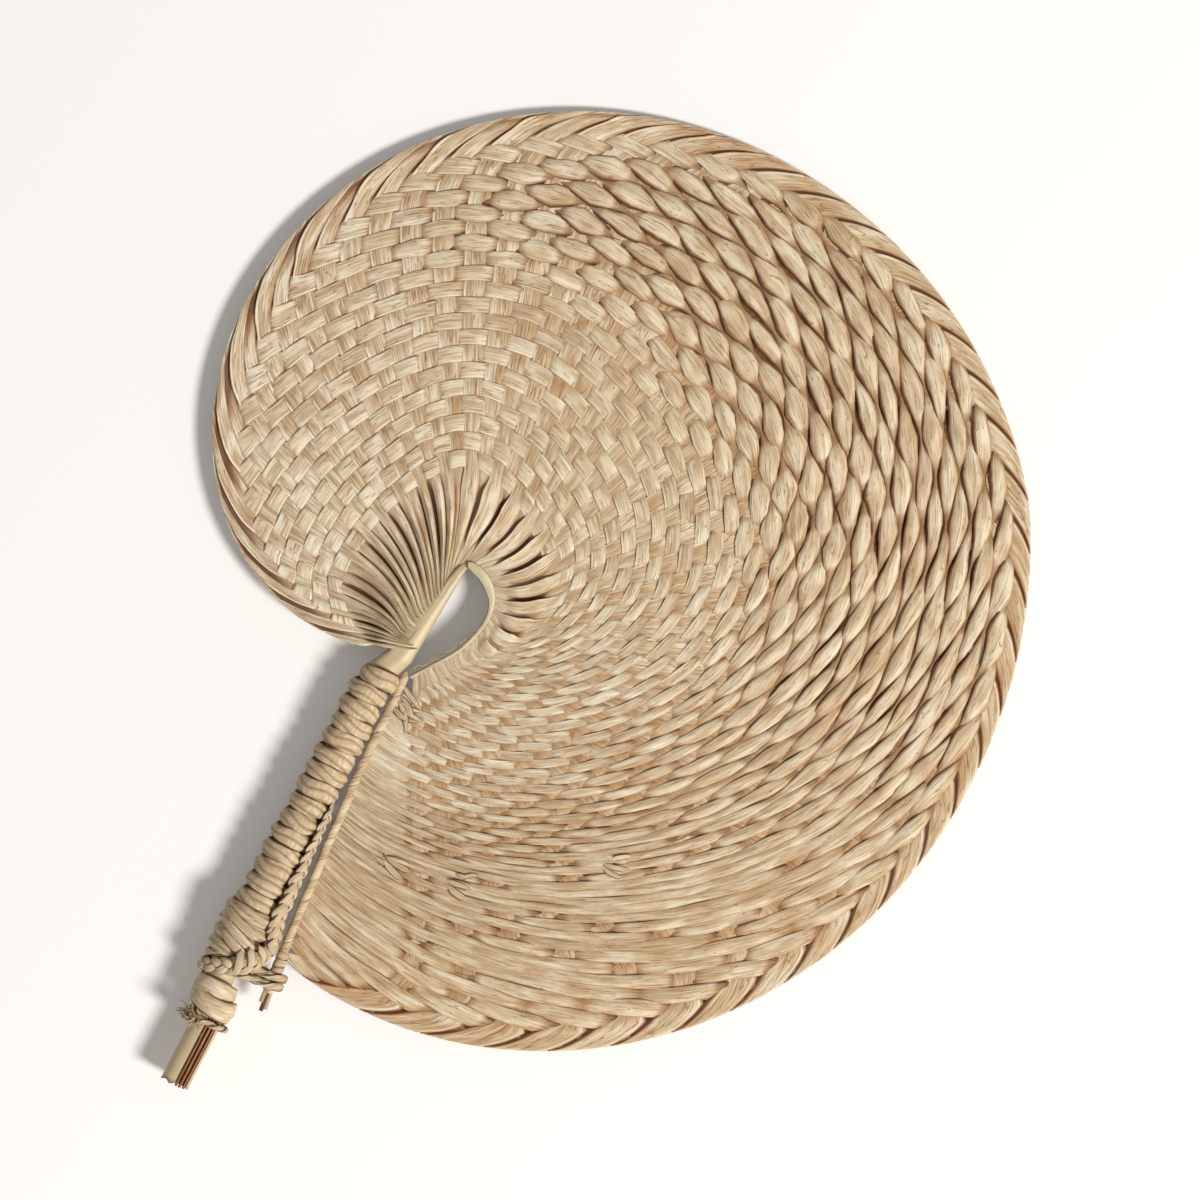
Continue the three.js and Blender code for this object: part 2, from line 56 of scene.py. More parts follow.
SHIFT = np.array([
    STALK_LOW[0] - STALK_LEFT_X,
    STALK_LOW[1] - BUTT_Y,
    (STALK_LOW[2] + STALK_HIGH[2]) / 2,
])

# Blade
STRIP_COUNT = 54
CAD_STRIP_COUNT = sum(name.startswith("leaf_strip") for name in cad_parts)
LAST_STRIP = STRIP_COUNT - 1
RIM_ANGLES = (217.5, 412.5, 537.5)
RIM_RADII = (37.3, 199.6, 137.0)
RIM_RISE = 1.22
RIM_FALL = 1.15
RIM_CROWDING = 0.43
RIM_ROOMS = (1.0, 0.8)
RIM_LEANS = (2.6, 1.5)
RIM_BAND = 9.0
RIM_LANE_ROOM = 0.6
HUB_LINE = [
    (-13.4, -26.2), (-8.6, -5.7), (-2.4, 14.2), (5, 14), (12.3, 7.6),
    (14.1, -1.2), (10.9, -13.6), (3.5, -25.2), (-1.3, -32.3),
]
HUB_ROOMS = (1.0, 1.6)
HUB_MARGINS = (34.0, 24.0, 4.0)
HUB_SWEEPS = (4.0, 4.6)
LANE_LIMIT = 60.0
FEWEST_LANES = 2.2
LANE_BEND = 4.0
LANE_LOSS = 0.17
LANE_LOSS_START = 37.0
RIGHT_CROWDING = -0.22
EDGE_SPREAD = 0.07
EDGE_BREADTH = 1.25
LONG_FLOATS = 44.0
SAG = 8.5
LEAF_THICKNESS = 0.35
PLEAT_HEIGHT = 3.0
LEAF_WIDTH = 7.6
RIM_WIDTH = 12.0
STAKE_WIDTH = 14.0
STAKE_LIFT = 0.3
TIGHT_SINK = 0.25
WEAVER_LIFT = 0.4
SPINDLE_LIFT = 0.6
RIB_RADIUS = 1.6
RIB_BOW = 1.8
RIB_EXTRA_BOW = 1.2

# Leaf base: the hole's edge and the upper face, each from the start to the tip
HOLE_EDGE_X = (-3.3, -1.2)
BASE_HEIGHTS = (3.8, 1.8)
BASE_START_Y = -26.0
STALK_TIP_Y = 12.6
BASE_GREEN = (206, 194, 146)

# Picture: the photograph's frame, and its turn about the line of sight
VIEW_WIDTH = 410.8
VIEW_CENTRE = (44.0, 22.9)
VIEW_ROLL = 27.5
CAMERA_HEIGHT = 1400.0
BLADE_LEVEL = -2.0
SENSOR_WIDTH = 36.0

# Light: lengths in metres, and the key's rise and turn in degrees
WORLD_STRENGTH = 0.3
KEY_WATTS = 168
KEY_SIZE = 1.0
KEY_DISTANCE = 4.0
KEY_RISE = 46
KEY_TURN = -8
FLOOR_HALF = 3
FLOOR_GLOW = 0.1

chance = np.random.default_rng(54)


def mix(a, b, share):
    return a + (b - a) * share


def ramp(low, high, value):
    """0 below low, 1 above high, and straight between."""
    return np.clip((value - low) / (high - low), 0, 1)


def smooth(low, high, value):
    """0 below low, 1 above high, and eased between."""
    share = ramp(low, high, value)
    return share * share * (3 - 2 * share)


def fade(low, high, value):
    """1 below low, 0 above high, and eased between."""
    return 1 - smooth(low, high, value)


def unit(vectors):
    return vectors / norm(vectors, axis=-1, keepdims=True)


def stacked(*columns):
    """Columns side by side, each spread to the size of the others."""
    return np.stack(np.broadcast_arrays(*columns), -1)


def run_along(path):
    """Length run along a path at each of its points."""
    return np.concatenate([[0], np.cumsum(norm(np.diff(path, axis=0), axis=1))])


class Line:
    """A flat curve read by the share of its length, running straight on past its ends."""

    def __init__(self, points):
        self.points = np.array(points, float)
        reach = run_along(self.points)
        self.length = reach[-1]
        self.shares = reach / self.length
        self.start_run = unit(self.points[1] - self.points[0])
        self.end_run = unit(self.points[-1] - self.points[-2])

    def at(self, share):
        share = np.asarray(share, float)
        inside = np.clip(share, 0, 1)
        place = stacked(*(np.interp(inside, self.shares, column) for column in self.points.T))
        past = ((share - inside) * self.length)[..., None]
        return place + past * np.where(past < 0, self.start_run, self.end_run)


def rim_line():
    """Spiral about the hub point: its radius rises to the peak and then falls a little."""
    start, peak, end = RIM_ANGLES
    first, largest, last = RIM_RADII
    angle = np.linspace(start, end, 3000)
    rising = mix(first, largest, np.sin(ramp(start, peak, angle) * np.pi / 2) ** RIM_RISE)
    falling = mix(largest, last, ramp(peak, end, angle) ** RIM_FALL)
    turn = np.radians(angle)
    return Line(np.where(angle <= peak, rising, falling)[:, None] * stacked(np.sin(turn), np.cos(turn)))


def hub_line():
    """Centripetal curve through the hub's points."""
    points = [np.array(p, float) for p in HUB_LINE]
    points = [2 * points[0] - points[1], *points, 2 * points[-1] - points[-2]]
    share = np.linspace(0, 1, 120, endpoint=False)[:, None]
    made = []
    for p0, p1, p2, p3 in zip(points, points[1:], points[2:], points[3:]):
        d0, d1, d2 = (np.sqrt(norm(b - a)) for a, b in ((p0, p1), (p1, p2), (p2, p3)))
        t1 = ((p1 - p0) / d0 - (p2 - p0) / (d0 + d1) + (p2 - p1) / d1) * d1
        t2 = ((p2 - p1) / d1 - (p3 - p1) / (d1 + d2) + (p3 - p2) / d2) * d1
        cubic = 2 * p1 - 2 * p2 + t1 + t2
        square = -3 * p1 + 3 * p2 - 2 * t1 - t2
        made.append(p1 + t1 * share + square * share ** 2 + cubic * share ** 3)
    return Line(np.vstack([*made, points[-2]]))


RIM = rim_line()
HUB = hub_line()


def strip_share(index, before, after):
    """A strip's share of a line, with room left before the first strip and after the last."""
    return (index + before) / (LAST_STRIP + before + after)


def hub_share(index):
    return strip_share(index, *HUB_ROOMS)


def rim_point(index):
    share = strip_share(index, *RIM_ROOMS)
    return RIM.at((1 - RIM_CROWDING) * share + RIM_CROWDING * share * share)


def hub_sweep(index):
    """How many strips further back a strip leaves the hub."""
    spot = hub_share(index)
    left, right = HUB_SWEEPS
    return mix(left * smooth(0, 9, index), right, smooth(0.33, 0.46, spot)) * fade(0.7, 0.92, spot)


def blade_point(index, share):
    """Place on the blade between the hub (share 0) and the rim (share 1).

    The strips sweep round from the hub, and near the rim they lean to their fold.
    """
    index, share = np.broadcast_arrays(np.asarray(index, float), np.asarray(share, float))
    root = HUB.at(hub_share(index - hub_sweep(index) * (1 - np.clip(share / inner_share(index), 0, 1)) ** 2))
    depth = (1 - share) * norm(rim_point(index) - root, axis=-1)
    lean = mix(*RIM_LEANS, smooth(14, 36, index)) * smooth(-1.5, 8, index)
    lean = lean * (1 - np.exp(-depth / RIM_BAND))
    return root + (rim_point(index - lean) - root) * share[..., None]


def blade_height(index, place):
    spread = np.sin(np.pi * np.clip(hub_share(index), 0, 1)) ** 0.6
    reach = norm(place, axis=-1) / RIM_RADII[1]
    return -SAG * spread * reach ** 1.5


def inner_share(index):
    length = norm(rim_point(index) - HUB.at(hub_share(index)), axis=-1)
    left, right, low = HUB_MARGINS
    share = hub_share(index)
    margin = mix(mix(left, right, smooth(0.38, 0.55, share)), low, smooth(0.6, 0.86, share))
    return np.minimum(0.4, margin / length)


def lane_count(index):
    """How many lanes of weavers cross a stake: more with each strip, up to a limit."""
    count = (np.maximum(index, FEWEST_LANES) ** -LANE_BEND + LANE_LIMIT ** -LANE_BEND) ** (-1 / LANE_BEND)
    return count * (1 - LANE_LOSS * smooth(LANE_LOSS_START, LAST_STRIP + 1, index))


def lane_share(index, lane):
    """The lanes are even, but close together along the rim and broader behind it near the free edge."""
    index, lane = np.broadcast_arrays(np.asarray(index, float), np.asarray(lane, float))
    spread = RIGHT_CROWDING * smooth(14, 26, index) + EDGE_SPREAD * smooth(38, 46, index)
    broad = EDGE_BREADTH * smooth(40, LAST_STRIP + 1, index)
    room = mix(RIM_LANE_ROOM, 0.5 * RIM_LANE_ROOM, smooth(38, LAST_STRIP + 1, index))
    lane = lane - (1 - room) * 1.5 * (1 - np.exp(-np.maximum(lane, 0) / 1.5))
    depth = lane / lane_count(index)
    depth = (1 + spread) * depth / (1 + spread * np.maximum(depth, 0))
    inside = np.clip(depth, 0, 1)
    depth = depth + broad * inside * (1 - inside) ** 3
    return 1 - (1 - inner_share(index)) * depth


def room_across(step, run):
    """Room square to a run, out of a step that may lie aslant of it."""
    return np.abs(step[..., 0] * run[..., 1] - step[..., 1] * run[..., 0]) / norm(run, axis=-1)


def spacing(index, lane):
    """Room across a stake, and room across a lane."""
    share = lane_share(index, lane)
    step = blade_point(index + 0.5, share) - blade_point(index - 0.5, share)
    run = blade_point(index, lane_share(index, lane - 0.5)) - blade_point(index, lane_share(index, lane + 0.5))
    return room_across(step, run), norm(run, axis=-1)


def hole_edge(y):
    """The hub hole's edge along the leaf base."""
    return mix(*HOLE_EDGE_X, ramp(HUB_LINE[0][1], STALK_TIP_Y, y))


def base_top(y):
    """Height of the leaf base's upper face."""
    return mix(*BASE_HEIGHTS, ramp(BASE_START_Y, STALK_TIP_Y, y))


def closeness(index, ratio):
    """How far the floats close into spindles, from the shape of the room that they have."""
    near = smooth(22, 31, index)
    return smooth(mix(1.7, 1.15, near), mix(2.9, 2.4, near), ratio)


def sway(position, period, seed):
    """Slow, uneven wave between -1 and 1."""
    phase = np.random.default_rng(seed).uniform(0, 2 * np.pi, 3)
    waves = zip((0.5, 0.3, 0.2), (1, 0.57, 0.36), phase)
    return sum(height * np.sin(2 * np.pi * position / (period * scale) + p) for height, scale, p in waves)


def over_under(index, crossing, weaver, room=0.0):
    """1 where a weaver passes over, -1 where it dips under.

    It is under the leaning stakes along the rim. By the free edge it dips only here and there, and past the last stake
    not at all. Where there is much room between the stakes, its dips stay narrow.
    """
    plain = np.tanh(1.8 * np.cos(np.pi * (crossing - 1)) + 0.45) / math.tanh(1.8)
    dip = np.clip((LEAF_WIDTH / 2 + 1.2) / np.maximum(room, 1.0), 0.2, 0.5)
    narrow = 2 * smooth(0.7 * dip, 1.5 * dip, np.abs((crossing + 1) % 2 - 1)) - 1
    wave = mix(plain, narrow, smooth(9, 13, room))
    # Which dips are skipped is a fixed scatter by weaver and crossing
    scatter = 43758.5453 * np.sin(12.9898 * weaver + 78.233 * 2 * np.round(crossing / 2))
    skipped = (scatter % 1 > 0.45) * smooth(3.5, 4.5, crossing) * fade(0.42, 0.58, crossing / lane_count(index))
    wave = mix(wave, 1, skipped * smooth(LONG_FLOATS - 2, LONG_FLOATS + 2, index))
    wave = mix(-1, wave, smooth(1.6, 2.5, crossing))
    return mix(wave, 0.8, smooth(LAST_STRIP + 0.3, LAST_STRIP + 0.8, index))


def placed(name, data):
    """A new object in the scene."""
    thing = bpy.data.objects.new(name, data)
    bpy.context.scene.collection.objects.link(thing)
    return thing


def put(name, bodies, finish, nodes=()):
    """Make a piece of the fan from closed bodies, each its rings and its marks, and set it in the frame."""
    points, faces, start = [], [], 0
    for rings, _ in bodies:
        faces.append(loft_faces(*rings.shape[:2]) + start)
        points.append(rings.reshape(-1, 3))
        start += len(points[-1])
    mesh = bpy.data.meshes.new(name)
    mesh.from_pydata(((np.vstack(points) + SHIFT) / 1000).tolist(), [], np.vstack(faces).tolist())
    for mark in bodies[0][1]:
        values = np.concatenate([np.broadcast_to(marks[mark], rings.shape[:2]).ravel() for rings, marks in bodies])
        mesh.attributes.new(mark, "FLOAT", "POINT").data.foreach_set("value", values.astype(np.float32))
    skin = bmesh.new()
    skin.from_mesh(mesh)
    bmesh.ops.recalc_face_normals(skin, faces=skin.faces)
    skin.to_mesh(mesh)
    skin.free()
    mesh.shade_smooth()
    mesh.set_sharp_from_angle(angle=math.radians(70))
    mesh.materials.append(finish)
    piece = placed(name, mesh)
    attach(piece, "root")
    if nodes:
        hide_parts(*nodes)


def there_and_back(values):
    """Values across a strip's upper face and back across its under face."""
    return np.concatenate([values, values[:, ::-1]], 1)


def marked(run, across, face, shade, tone, **others):
    """The marks that the finishes read. The shade mark is mostly painted shade, but on the stalk's cut end, the
    splints, the loose ends and fibres and the low stakes it is their own brown.
    """
    return {"run": run, "across": across, "face": face, **others, "shade": np.clip(shade, 0, 1), "tone": tone}


def off_crest(across, crest):
    """0 on the crest's line along a strip, 1 at the strip's edges."""
    return np.where(across < crest, (crest - across) / (1 + crest), (across - crest) / (1 - crest))


def loft_faces(rings, count):
    """Quads between neighbouring rings, and a row of quads over each end."""
    ring, side = np.meshgrid(np.arange(rings - 1), np.arange(count), indexing="ij")
    a = (ring * count + side).ravel()
    b = (ring * count + (side + 1) % count).ravel()
    walls = stacked(a, b, b + count, a + count)
    k = np.arange(count // 2 - 1)
    cap = stacked(k, count - 1 - k, count - 2 - k, k + 1)
    return np.vstack([walls, cap, cap[:, ::-1] + (rings - 1) * count])


# Places across a leaf strip
ACROSS = np.array([-1, -0.8, -0.5, -0.2, 0.2, 0.5, 0.8, 1])


def stations(left, right, lift=0.0, arch=0.0, pleat=0.0, tilt=0.0, face=0.0, shade=0.0, dark_shade=0.0, thin=0.0, green=0.0):
    """Places along a leaf strip: both edges as strip index and share, then the heights and the marks."""
    return stacked(*left, *right, lift, arch, pleat, tilt, face, shade, dark_shade, thin, green)


def strip_stations(strip):
    """Stations of one leaf strip from the hub to the rim and round its fold."""
    root = inner_share(strip)
    spot = hub_share(strip)
    on_base = fade(0.34, 0.46, spot)
    on_top = strip % 2 == 0
    length = norm(rim_point(strip) - HUB.at(spot))
    uneven = 1 + 0.35 * math.sin(strip * 2.4 + 0.2 * strip * strip)
    begin = HUB.at(hub_share(strip - hub_sweep(strip)))
    back = np.linspace(1.6, 9.0, 75)
    behind = begin - back[:, None] * unit(rim_point(strip) - begin)
    clear = behind[:, 0] < hole_edge(behind[:, 1]) - 1.3
    start = -mix(1.6, back[max(0, np.count_nonzero(np.cumprod(clear)) - 1)], on_base) / length

    # Stake: fine ridges at the leaf base and then deep pleats, or petals past its tip; flat in the weave
    woven = np.arange(math.floor(lane_count(strip) * 4) / 4 - 0.25, 0.1, -0.25)
    share = np.concatenate([np.linspace(start, root, 22), lane_share(strip, woven)])
    lanes = np.arange(0, 60, 0.25)
    lane = np.interp(-share, -lane_share(strip, lanes), lanes)
    stake_room, lane_room = spacing(strip, lanes)
    step = blade_point(strip + 0.5, share) - blade_point(strip - 0.5, share)
    run = blade_point(strip, share + 0.01) - blade_point(strip, share - 0.01)
    room = room_across(step, run)
    spread = smooth(22, 32, strip) * fade(LONG_FLOATS, LONG_FLOATS + 6, strip)
    spread = spread * smooth(3.0, 5.0, lane) * fade(18, 28, lane)
    ratio = np.interp(lane, lanes, stake_room / lane_room)
    tight = spread * fade(LONG_FLOATS - 4, LONG_FLOATS + 2, strip) * closeness(strip, ratio - 0.1)
    at_rim = fade(1.4, 3.4, lane)
    out = share / root
    free = fade(0.85, 1.15, out)
    folds = on_base * smooth(0.1, 0.42, out) * fade(0.55, 1.15, out)
    petal = (1 - on_base) * smooth(0.05, 0.4, out) * fade(0.8, 1.12, out) * fade(0.72, 0.86, spot)
    width = mix(mix(LEAF_WIDTH, STAKE_WIDTH, spread), RIM_WIDTH, at_rim)
    half = mix(mix(0.47, 0.505, spread), 0.56, folds)
    paired = fade(3.0, 5.5, room)
    half = mix(half, mix(0.5, 0.88 if on_top else 0.52, paired), at_rim)
    half = mix(half, 0.86 + 0.12 * math.sin(2.9 * strip), petal * on_top)
    half = np.minimum(half, width / room / 2)
    middle = strip + 0.14 * math.sin(5.1 * strip) * folds
    pleat = 0.9 * on_base * smooth(start, start + 0.025, share) * free + PLEAT_HEIGHT * uneven * folds
    tilt = 0.8 * uneven * petal * on_top + mix(0.25, 0.5, paired) * at_rim
    wave = over_under(strip, lane, strip - 2 * np.round(lane / 2))
    lift = (-STAKE_LIFT * wave - TIGHT_SINK * tight) * (1 - free) + petal * (0.9 if on_top else -0.5)
    lift = lift + at_rim * paired * (0.3 if on_top else -0.3)
    ridge = base_top(HUB.at(spot)[1]) + mix(-0.5, 0.3, smooth(start, start + 0.025, share))
    lift = lift + ridge * on_base * fade(0, 0.9, out) + 0.4 * (1 - on_base) * free
    green = on_base * fade(0.0, 0.55, out)
    arch = mix(0.14, 0.4, petal)
    # Painted shade: the close-packed stakes between the spindles are darkened; the stakes low on the blade get a tan of
    # their own.
    shade = np.maximum(0.95 * tight, 0.42 * smooth(0.7, 0.8, spot) * (1 - free) * (1 - at_rim))
    # Painted shade on the lower strip of each pair at the rim and on the strips sunk under the petals.
    if not on_top:
        under_shade = np.maximum((0.8 + 0.2 * math.sin(1.3 * strip)) * petal, 0.85 * at_rim * paired)
        shade = np.maximum(shade, under_shade)
    # Painted shade on one edge of each rim strip and of each upper petal.
    edge = np.maximum(mix(1.0, 0.6, paired) * at_rim, 0.35 * petal * on_top)
    # Where a stake runs free of the weave it takes the paler back colour: a painted highlight on the crests of its
    # pleats or petal.
    left, right = (middle - half, share), (middle + half, share)
    stake = stations(left, right, lift, arch, pleat, tilt, free, shade, edge, green=green)

    # Fold round the rim
    half = 0.47
    at_crease = lane_share(strip, -0.08)
    # Painted shade along the crease and over the fold.
    crease = stations((strip - half, at_crease), (strip + half, at_crease), face=0.4, dark_shade=0.3)
    turn = np.array([0.25, 0.5, 0.75])
    along = mix(-half, half, turn)
    left = strip + along, lane_share(strip + along, along + half)
    right = strip + half, lane_share(strip + half, 0.04 * turn)
    fold = stations(left, right, mix(-0.12, -0.2, turn), arch=0.05, face=1.0, shade=0.2, dark_shade=0.4)
    return np.vstack([stake, crease, fold])


def weaver_end(strip):
    """Crossing at which a weaver stops, at the rib or tucked in beside the hub, and whether it is tucked."""
    crossing = np.arange(0.5, STRIP_COUNT + 8, 0.02)
    index = strip + crossing
    place = blade_point(index, lane_share(index, crossing))
    met = (index > LAST_STRIP - 1) & (place[:, 0] - rib_at(place[:, 1])[:, 0] < RIB_RADIUS * 0.6)
    full = (crossing > 2) & (crossing / lane_count(index) > 1.02)
    at_rib, at_hub = (crossing[np.argmax(stop)] if stop.any() else crossing[-1] for stop in (met, full))
    return min(at_rib, at_hub), at_hub < at_rib


def weaver_stations(strip):
    """Stations of the strip after its fold, over and under the stakes that follow."""
    end, tucked = weaver_end(strip)
    crossing = np.arange(0.5, end, 1 / 6)
    crossing = np.append(crossing[crossing < end - 0.05], end)
    index = strip + crossing
    stake_room, lane_room = spacing(index, crossing)
    wave = over_under(index, crossing, strip, stake_room)
    low = smooth(0.74, 0.86, hub_share(index))
    flat = low * smooth(0.6, 0.85, crossing / lane_count(index))
    swell = closeness(index, stake_room / lane_room) * smooth(0.8, 3.0, crossing) * (1 - 0.85 * low)
    swell = swell * (1 - 0.7 * smooth(18, 30, crossing))
    held_up = mix(wave, np.clip(wave + 0.6, -1, 1), swell)
    peak = np.clip(1 - np.abs(crossing % 2 - 1) / 0.98, 0, 1) ** 0.9
    half = 0.48 + swell * (0.4 * peak - 0.24 * (1 - peak)) + 0.05 * low
    half = half * (1 + mix(mix(0.06, 0.1, low), 0.26, swell) * sway(crossing, 3.1, 1000 + strip))
    drift = mix(mix(0.05, 0.1, low), 0.18, swell) * sway(crossing, 4.3, 2000 + strip)
    if tucked:
        half = half * mix(1, 0.5, smooth(end - 0.5, end, crossing))
    inner = lane_share(index, crossing + half + drift)
    outer = lane_share(index, np.maximum(crossing - half + drift, 0.02))
    lift = mix(WEAVER_LIFT, SPINDLE_LIFT, swell) * held_up
    arch = mix(mix(0.2, 0.5, low - flat), 1.05, swell * peak) + 0.4 * swell * (1 - peak)
    arch = arch * (1 + 0.3 * sway(crossing, 2.7, 5000 + strip))
    tilt = mix(0.12, 0.55, swell) * sway(crossing, 2.2, 6000 + strip)
    # Painted shade: darker where a weaver dips under a stake, along the edges of the spindles, and between the floats
    # low on the blade.
    shade = (0.4 - 0.2 * (wave + held_up)) * (1 - 0.5 * flat)
    dark_shade = np.maximum(swell * (1.35 - 0.75 * smooth(10, 20, crossing)), 0.8 * low - 0.5 * flat)
    face = 1 - 0.7 * (low - flat)
    return stations((index, inner), (index, outer), lift, arch, 0.0, tilt, face, shade, dark_shade, low)


def leaf_strip(strip, finish, nodes):
    """One leaf strip, out as a stake, folded at the rim and back as a weaver."""
    stake, weaver = strip_stations(strip), weaver_stations(strip)
    rows = np.vstack([stake, weaver])
    is_stake = (np.arange(len(rows)) < len(stake))[:, None]
    left_index, left_share, right_index, right_share, *others = rows.T[:, :, None]
    lift, arch, pleat, tilt, face, shade, dark_shade, thin, green = others
    across = ACROSS[None, :]
    part = (across + 1) / 2
    index = mix(left_index, right_index, part)
    share = mix(left_share, right_share, part)
    place = blade_point(index, share)
    run = run_along(place[:, len(ACROSS) // 2])
    crease = 0.5 + 0.5 * sway(run, 90, 3000 + strip)[:, None]
    ridge = np.abs(np.sin(np.pi * (1.3 * across + 0.4 * sway(run, 160, 4000 + strip)[:, None])))
    crest = np.where(is_stake, 0, 0.5 * sway(run, 26, 7000 + strip)[:, None])
    height = blade_height(index, place) + lift + arch * (1 - off_crest(across, crest) ** 1.5) - tilt * across
    height = height + 0.42 * crease * arch * ridge
    skew = 0.3 * math.sin(strip * 1.7)
    height = height + pleat * (0.5 - (np.abs(across - skew) / (1 + abs(skew))) ** 1.25)
    # Painted shade in the valleys between the pleats' crests.
    valley_shade = 2.0 * pleat / PLEAT_HEIGHT * smooth(0.6, 1.1, np.abs(across - skew))
    # Painted shade along the strips' edges: on weavers both edges, the inner one deeper; on stakes only the second
    # edge.
    edges_in_shade = 0.85 * smooth(mix(-0.35, -0.6, thin), -1.0, across) + 0.5 * smooth(mix(0.6, 0.75, thin), 1.0, across)
    painted_shade = shade + valley_shade + dark_shade * np.where(is_stake, 1.4 * smooth(0.6, 0.85, across), edges_in_shade)
    # Painted shade on the under face: a weaver is darker behind where it passes over in front, and every strip along
    # its edges.
    behind = np.where(is_stake, 0.1, 0.7 * (0.8 - shade)) + 0.4 * smooth(0.7, 1.0, np.abs(across))
    # Paler towards the upper left, and on the weavers beside the hub outside their painted shade.
    by_hub = smooth(34, 42, index) * fade(0.25, 0.55, share) * np.where(is_stake, 0, 1 - 2 * shade)
    bleached = np.clip(fade(10, 30, index) + by_hub, 0, 1)
    rings = there_and_back(np.concatenate([place, height[..., None]], -1))
    rings[:, len(ACROSS):, 2] -= LEAF_THICKNESS
    shade = np.concatenate([painted_shade, behind[:, ::-1]], 1)
    marks = marked(
        run[:, None], there_and_back(across), face, shade, chance.uniform(),
        green=green, bleached=there_and_back(bleached),
    )
    put(f"leaf_strip_{strip + 1:02d}", [(rings, marks)], finish, nodes)


# Handle
HANDLE_X = -11.8
STUB_X = -8.8
STALK_HALVES = (5.0, 4.2)
GRIP_TOP_Y = -41.0
NECK_Y = -33.0
WRAP_PITCH = 6.2
WRAP_TOP_Y = -33.7
WRAP_TURNS = 15.0
WRAP_END_Y = WRAP_TOP_Y - WRAP_TURNS * WRAP_PITCH
COLLAR_TOP_Y = -151.95
KNOT_Y = -166.55
GROOVE_END_Y = -152.5
RIDGE_ANGLE = 30.0
HEM_START = 0.405
HEM_END = 0.985
RIB_TOP_Y = -29.0
RIB_FOOT_Y = -149.0
UP = np.array([0.0, 0.0, 1.0])

# Windings: the top, pitch, turns, first angle and level of each
GRIP_TURNS = (WRAP_TOP_Y, WRAP_PITCH, WRAP_TURNS, 200, 1.35)
LASHING_TURNS = (-125.5, 4.7, 3.4, 216, 1.2)
COLLAR_TURNS = (-153.0, 5.2, 2.15, 230, 0.6)
KNOT_TURNS = (KNOT_Y + 0.8, 2.2, 1.15, 200, 0.8)


def handle_x(y):
    """Middle of the stalk: the stub is set over from the wrapped handle."""
    return mix(STUB_X, HANDLE_X, smooth(KNOT_Y, COLLAR_TOP_Y, y)) + ramp(GRIP_TOP_Y, GRIP_TOP_Y + 6, y)


def handle_half(y):
    """Half width of the stalk, which thins toward the leaf base."""
    return mix(*STALK_HALVES, ramp(WRAP_END_Y, GRIP_TOP_Y, y))


def handle_reach(y):
    """Distance from the stalk's middle at which a winding lies against it."""
    return 1.14 * handle_half(y) + 0.3


def round_about(angle):
    """Directions square to the handle; the angle runs from the right over the front."""
    return stacked(np.cos(angle), 0.0, np.sin(angle))


def round_handle(angle, y, radius):
    """Points about the stalk, and their outward directions."""
    outward = round_about(angle)
    return stacked(handle_x(y), y, 0.0) + np.asarray(radius)[..., None] * outward, outward


def resampled(points, count):
    """Points again, as so many at even steps along their row."""
    spots = np.linspace(0, len(points) - 1, count)
    return stacked(*(np.interp(spots, np.arange(len(points)), column) for column in points.T))


def laid_along(path, outward):
    """Outward directions set square to a path, and the directions sideways of it."""
    run_way = unit(np.gradient(path, axis=0))
    outward = unit(outward - np.sum(outward * run_way, -1, keepdims=True) * run_way)
    return outward, np.cross(outward, run_way)


def wound(path, outward, half, thickness, tone, seed, fold=0.2, shade=0.0, spread=9):
    """A strip of leaf laid along a path with creases along it: its rings and its marks."""
    outward, sideways = laid_along(path, outward)
    run = run_along(path)
    across = np.linspace(-1, 1, spread)[None, :]
    half, thickness, shade, tone = (np.broadcast_to(v, run.shape)[:, None] for v in (half, thickness, shade, tone))
    crown = np.maximum(1 - np.abs(across) ** 2.2, 0.02) ** 0.55
    crease = np.abs(np.sin(np.pi * (1.1 * across + 0.05 * run[:, None] + 0.5 * sway(run, 31, seed)[:, None])))
    crest = 0.55 * sway(run, 19, seed + 3)[:, None]
    folded = mix(1, 0.4 + 0.75 * (1 - off_crest(across, crest)), min(1, 2 * fold))
    over = (0.5 * thickness * folded + fold * crease * (0.6 + 0.4 * sway(run, 17, seed + 1)[:, None])) * crown
    under = -0.5 * thickness * crown
    lay = half * across * (1 + 0.05 * sway(run, 23, seed + 2)[:, None])
    side = there_and_back(lay)[..., None] * sideways[:, None]
    rise = np.concatenate([over, under[:, ::-1]], 1)[..., None] * outward[:, None]
    both = there_and_back(across)
    # Painted shade along the creases and on the edges of each turn.
    crease_shade = there_and_back(fold * (1 - crease) * 1.2)
    edge = 0.9 * smooth(0.72, 1.0, np.abs(both)) if fold else 0.0
    return path[:, None] + side + rise, marked(run[:, None], both, 1.0, shade + crease_shade + edge, tone)


def tapered(count, start, end):
    """1 along a piece, drawn in over the share of its length at either end."""
    share = np.linspace(0, 1, count)
    first = smooth(-start * 0.25, start, share) if start else 1.0
    return first * fade(1 - end, 1 + end * 0.25, share)


def plait(path, outward, size, pitch, tone, seed, strands=2):
    """Strands of leaf worked about a path: two twist round each other, three make a flat braid."""
    outward, sideways = laid_along(path, outward)
    run = run_along(path)
    size = np.broadcast_to(size, run.shape)[:, None]
    made = []
    for strand in range(strands):
        twist = (2 * np.pi * run / pitch + strand * 2 * np.pi / strands)[:, None]
        if strands == 2:
            away = np.cos(twist) * outward + np.sin(twist) * sideways
            offset = 0.5 * away
        else:
            away = outward + 0.5 * np.sin(twist) * sideways
            offset = 0.36 * np.sin(2 * twist) * outward + 0.95 * np.sin(twist) * sideways
        made.append(wound(
            path + size * offset, away, 0.8 * size[:, 0], 0.85 * size[:, 0],
            tone + 0.2 * strand, seed + 7 * strand, fold=0.14,
        ))
    return made


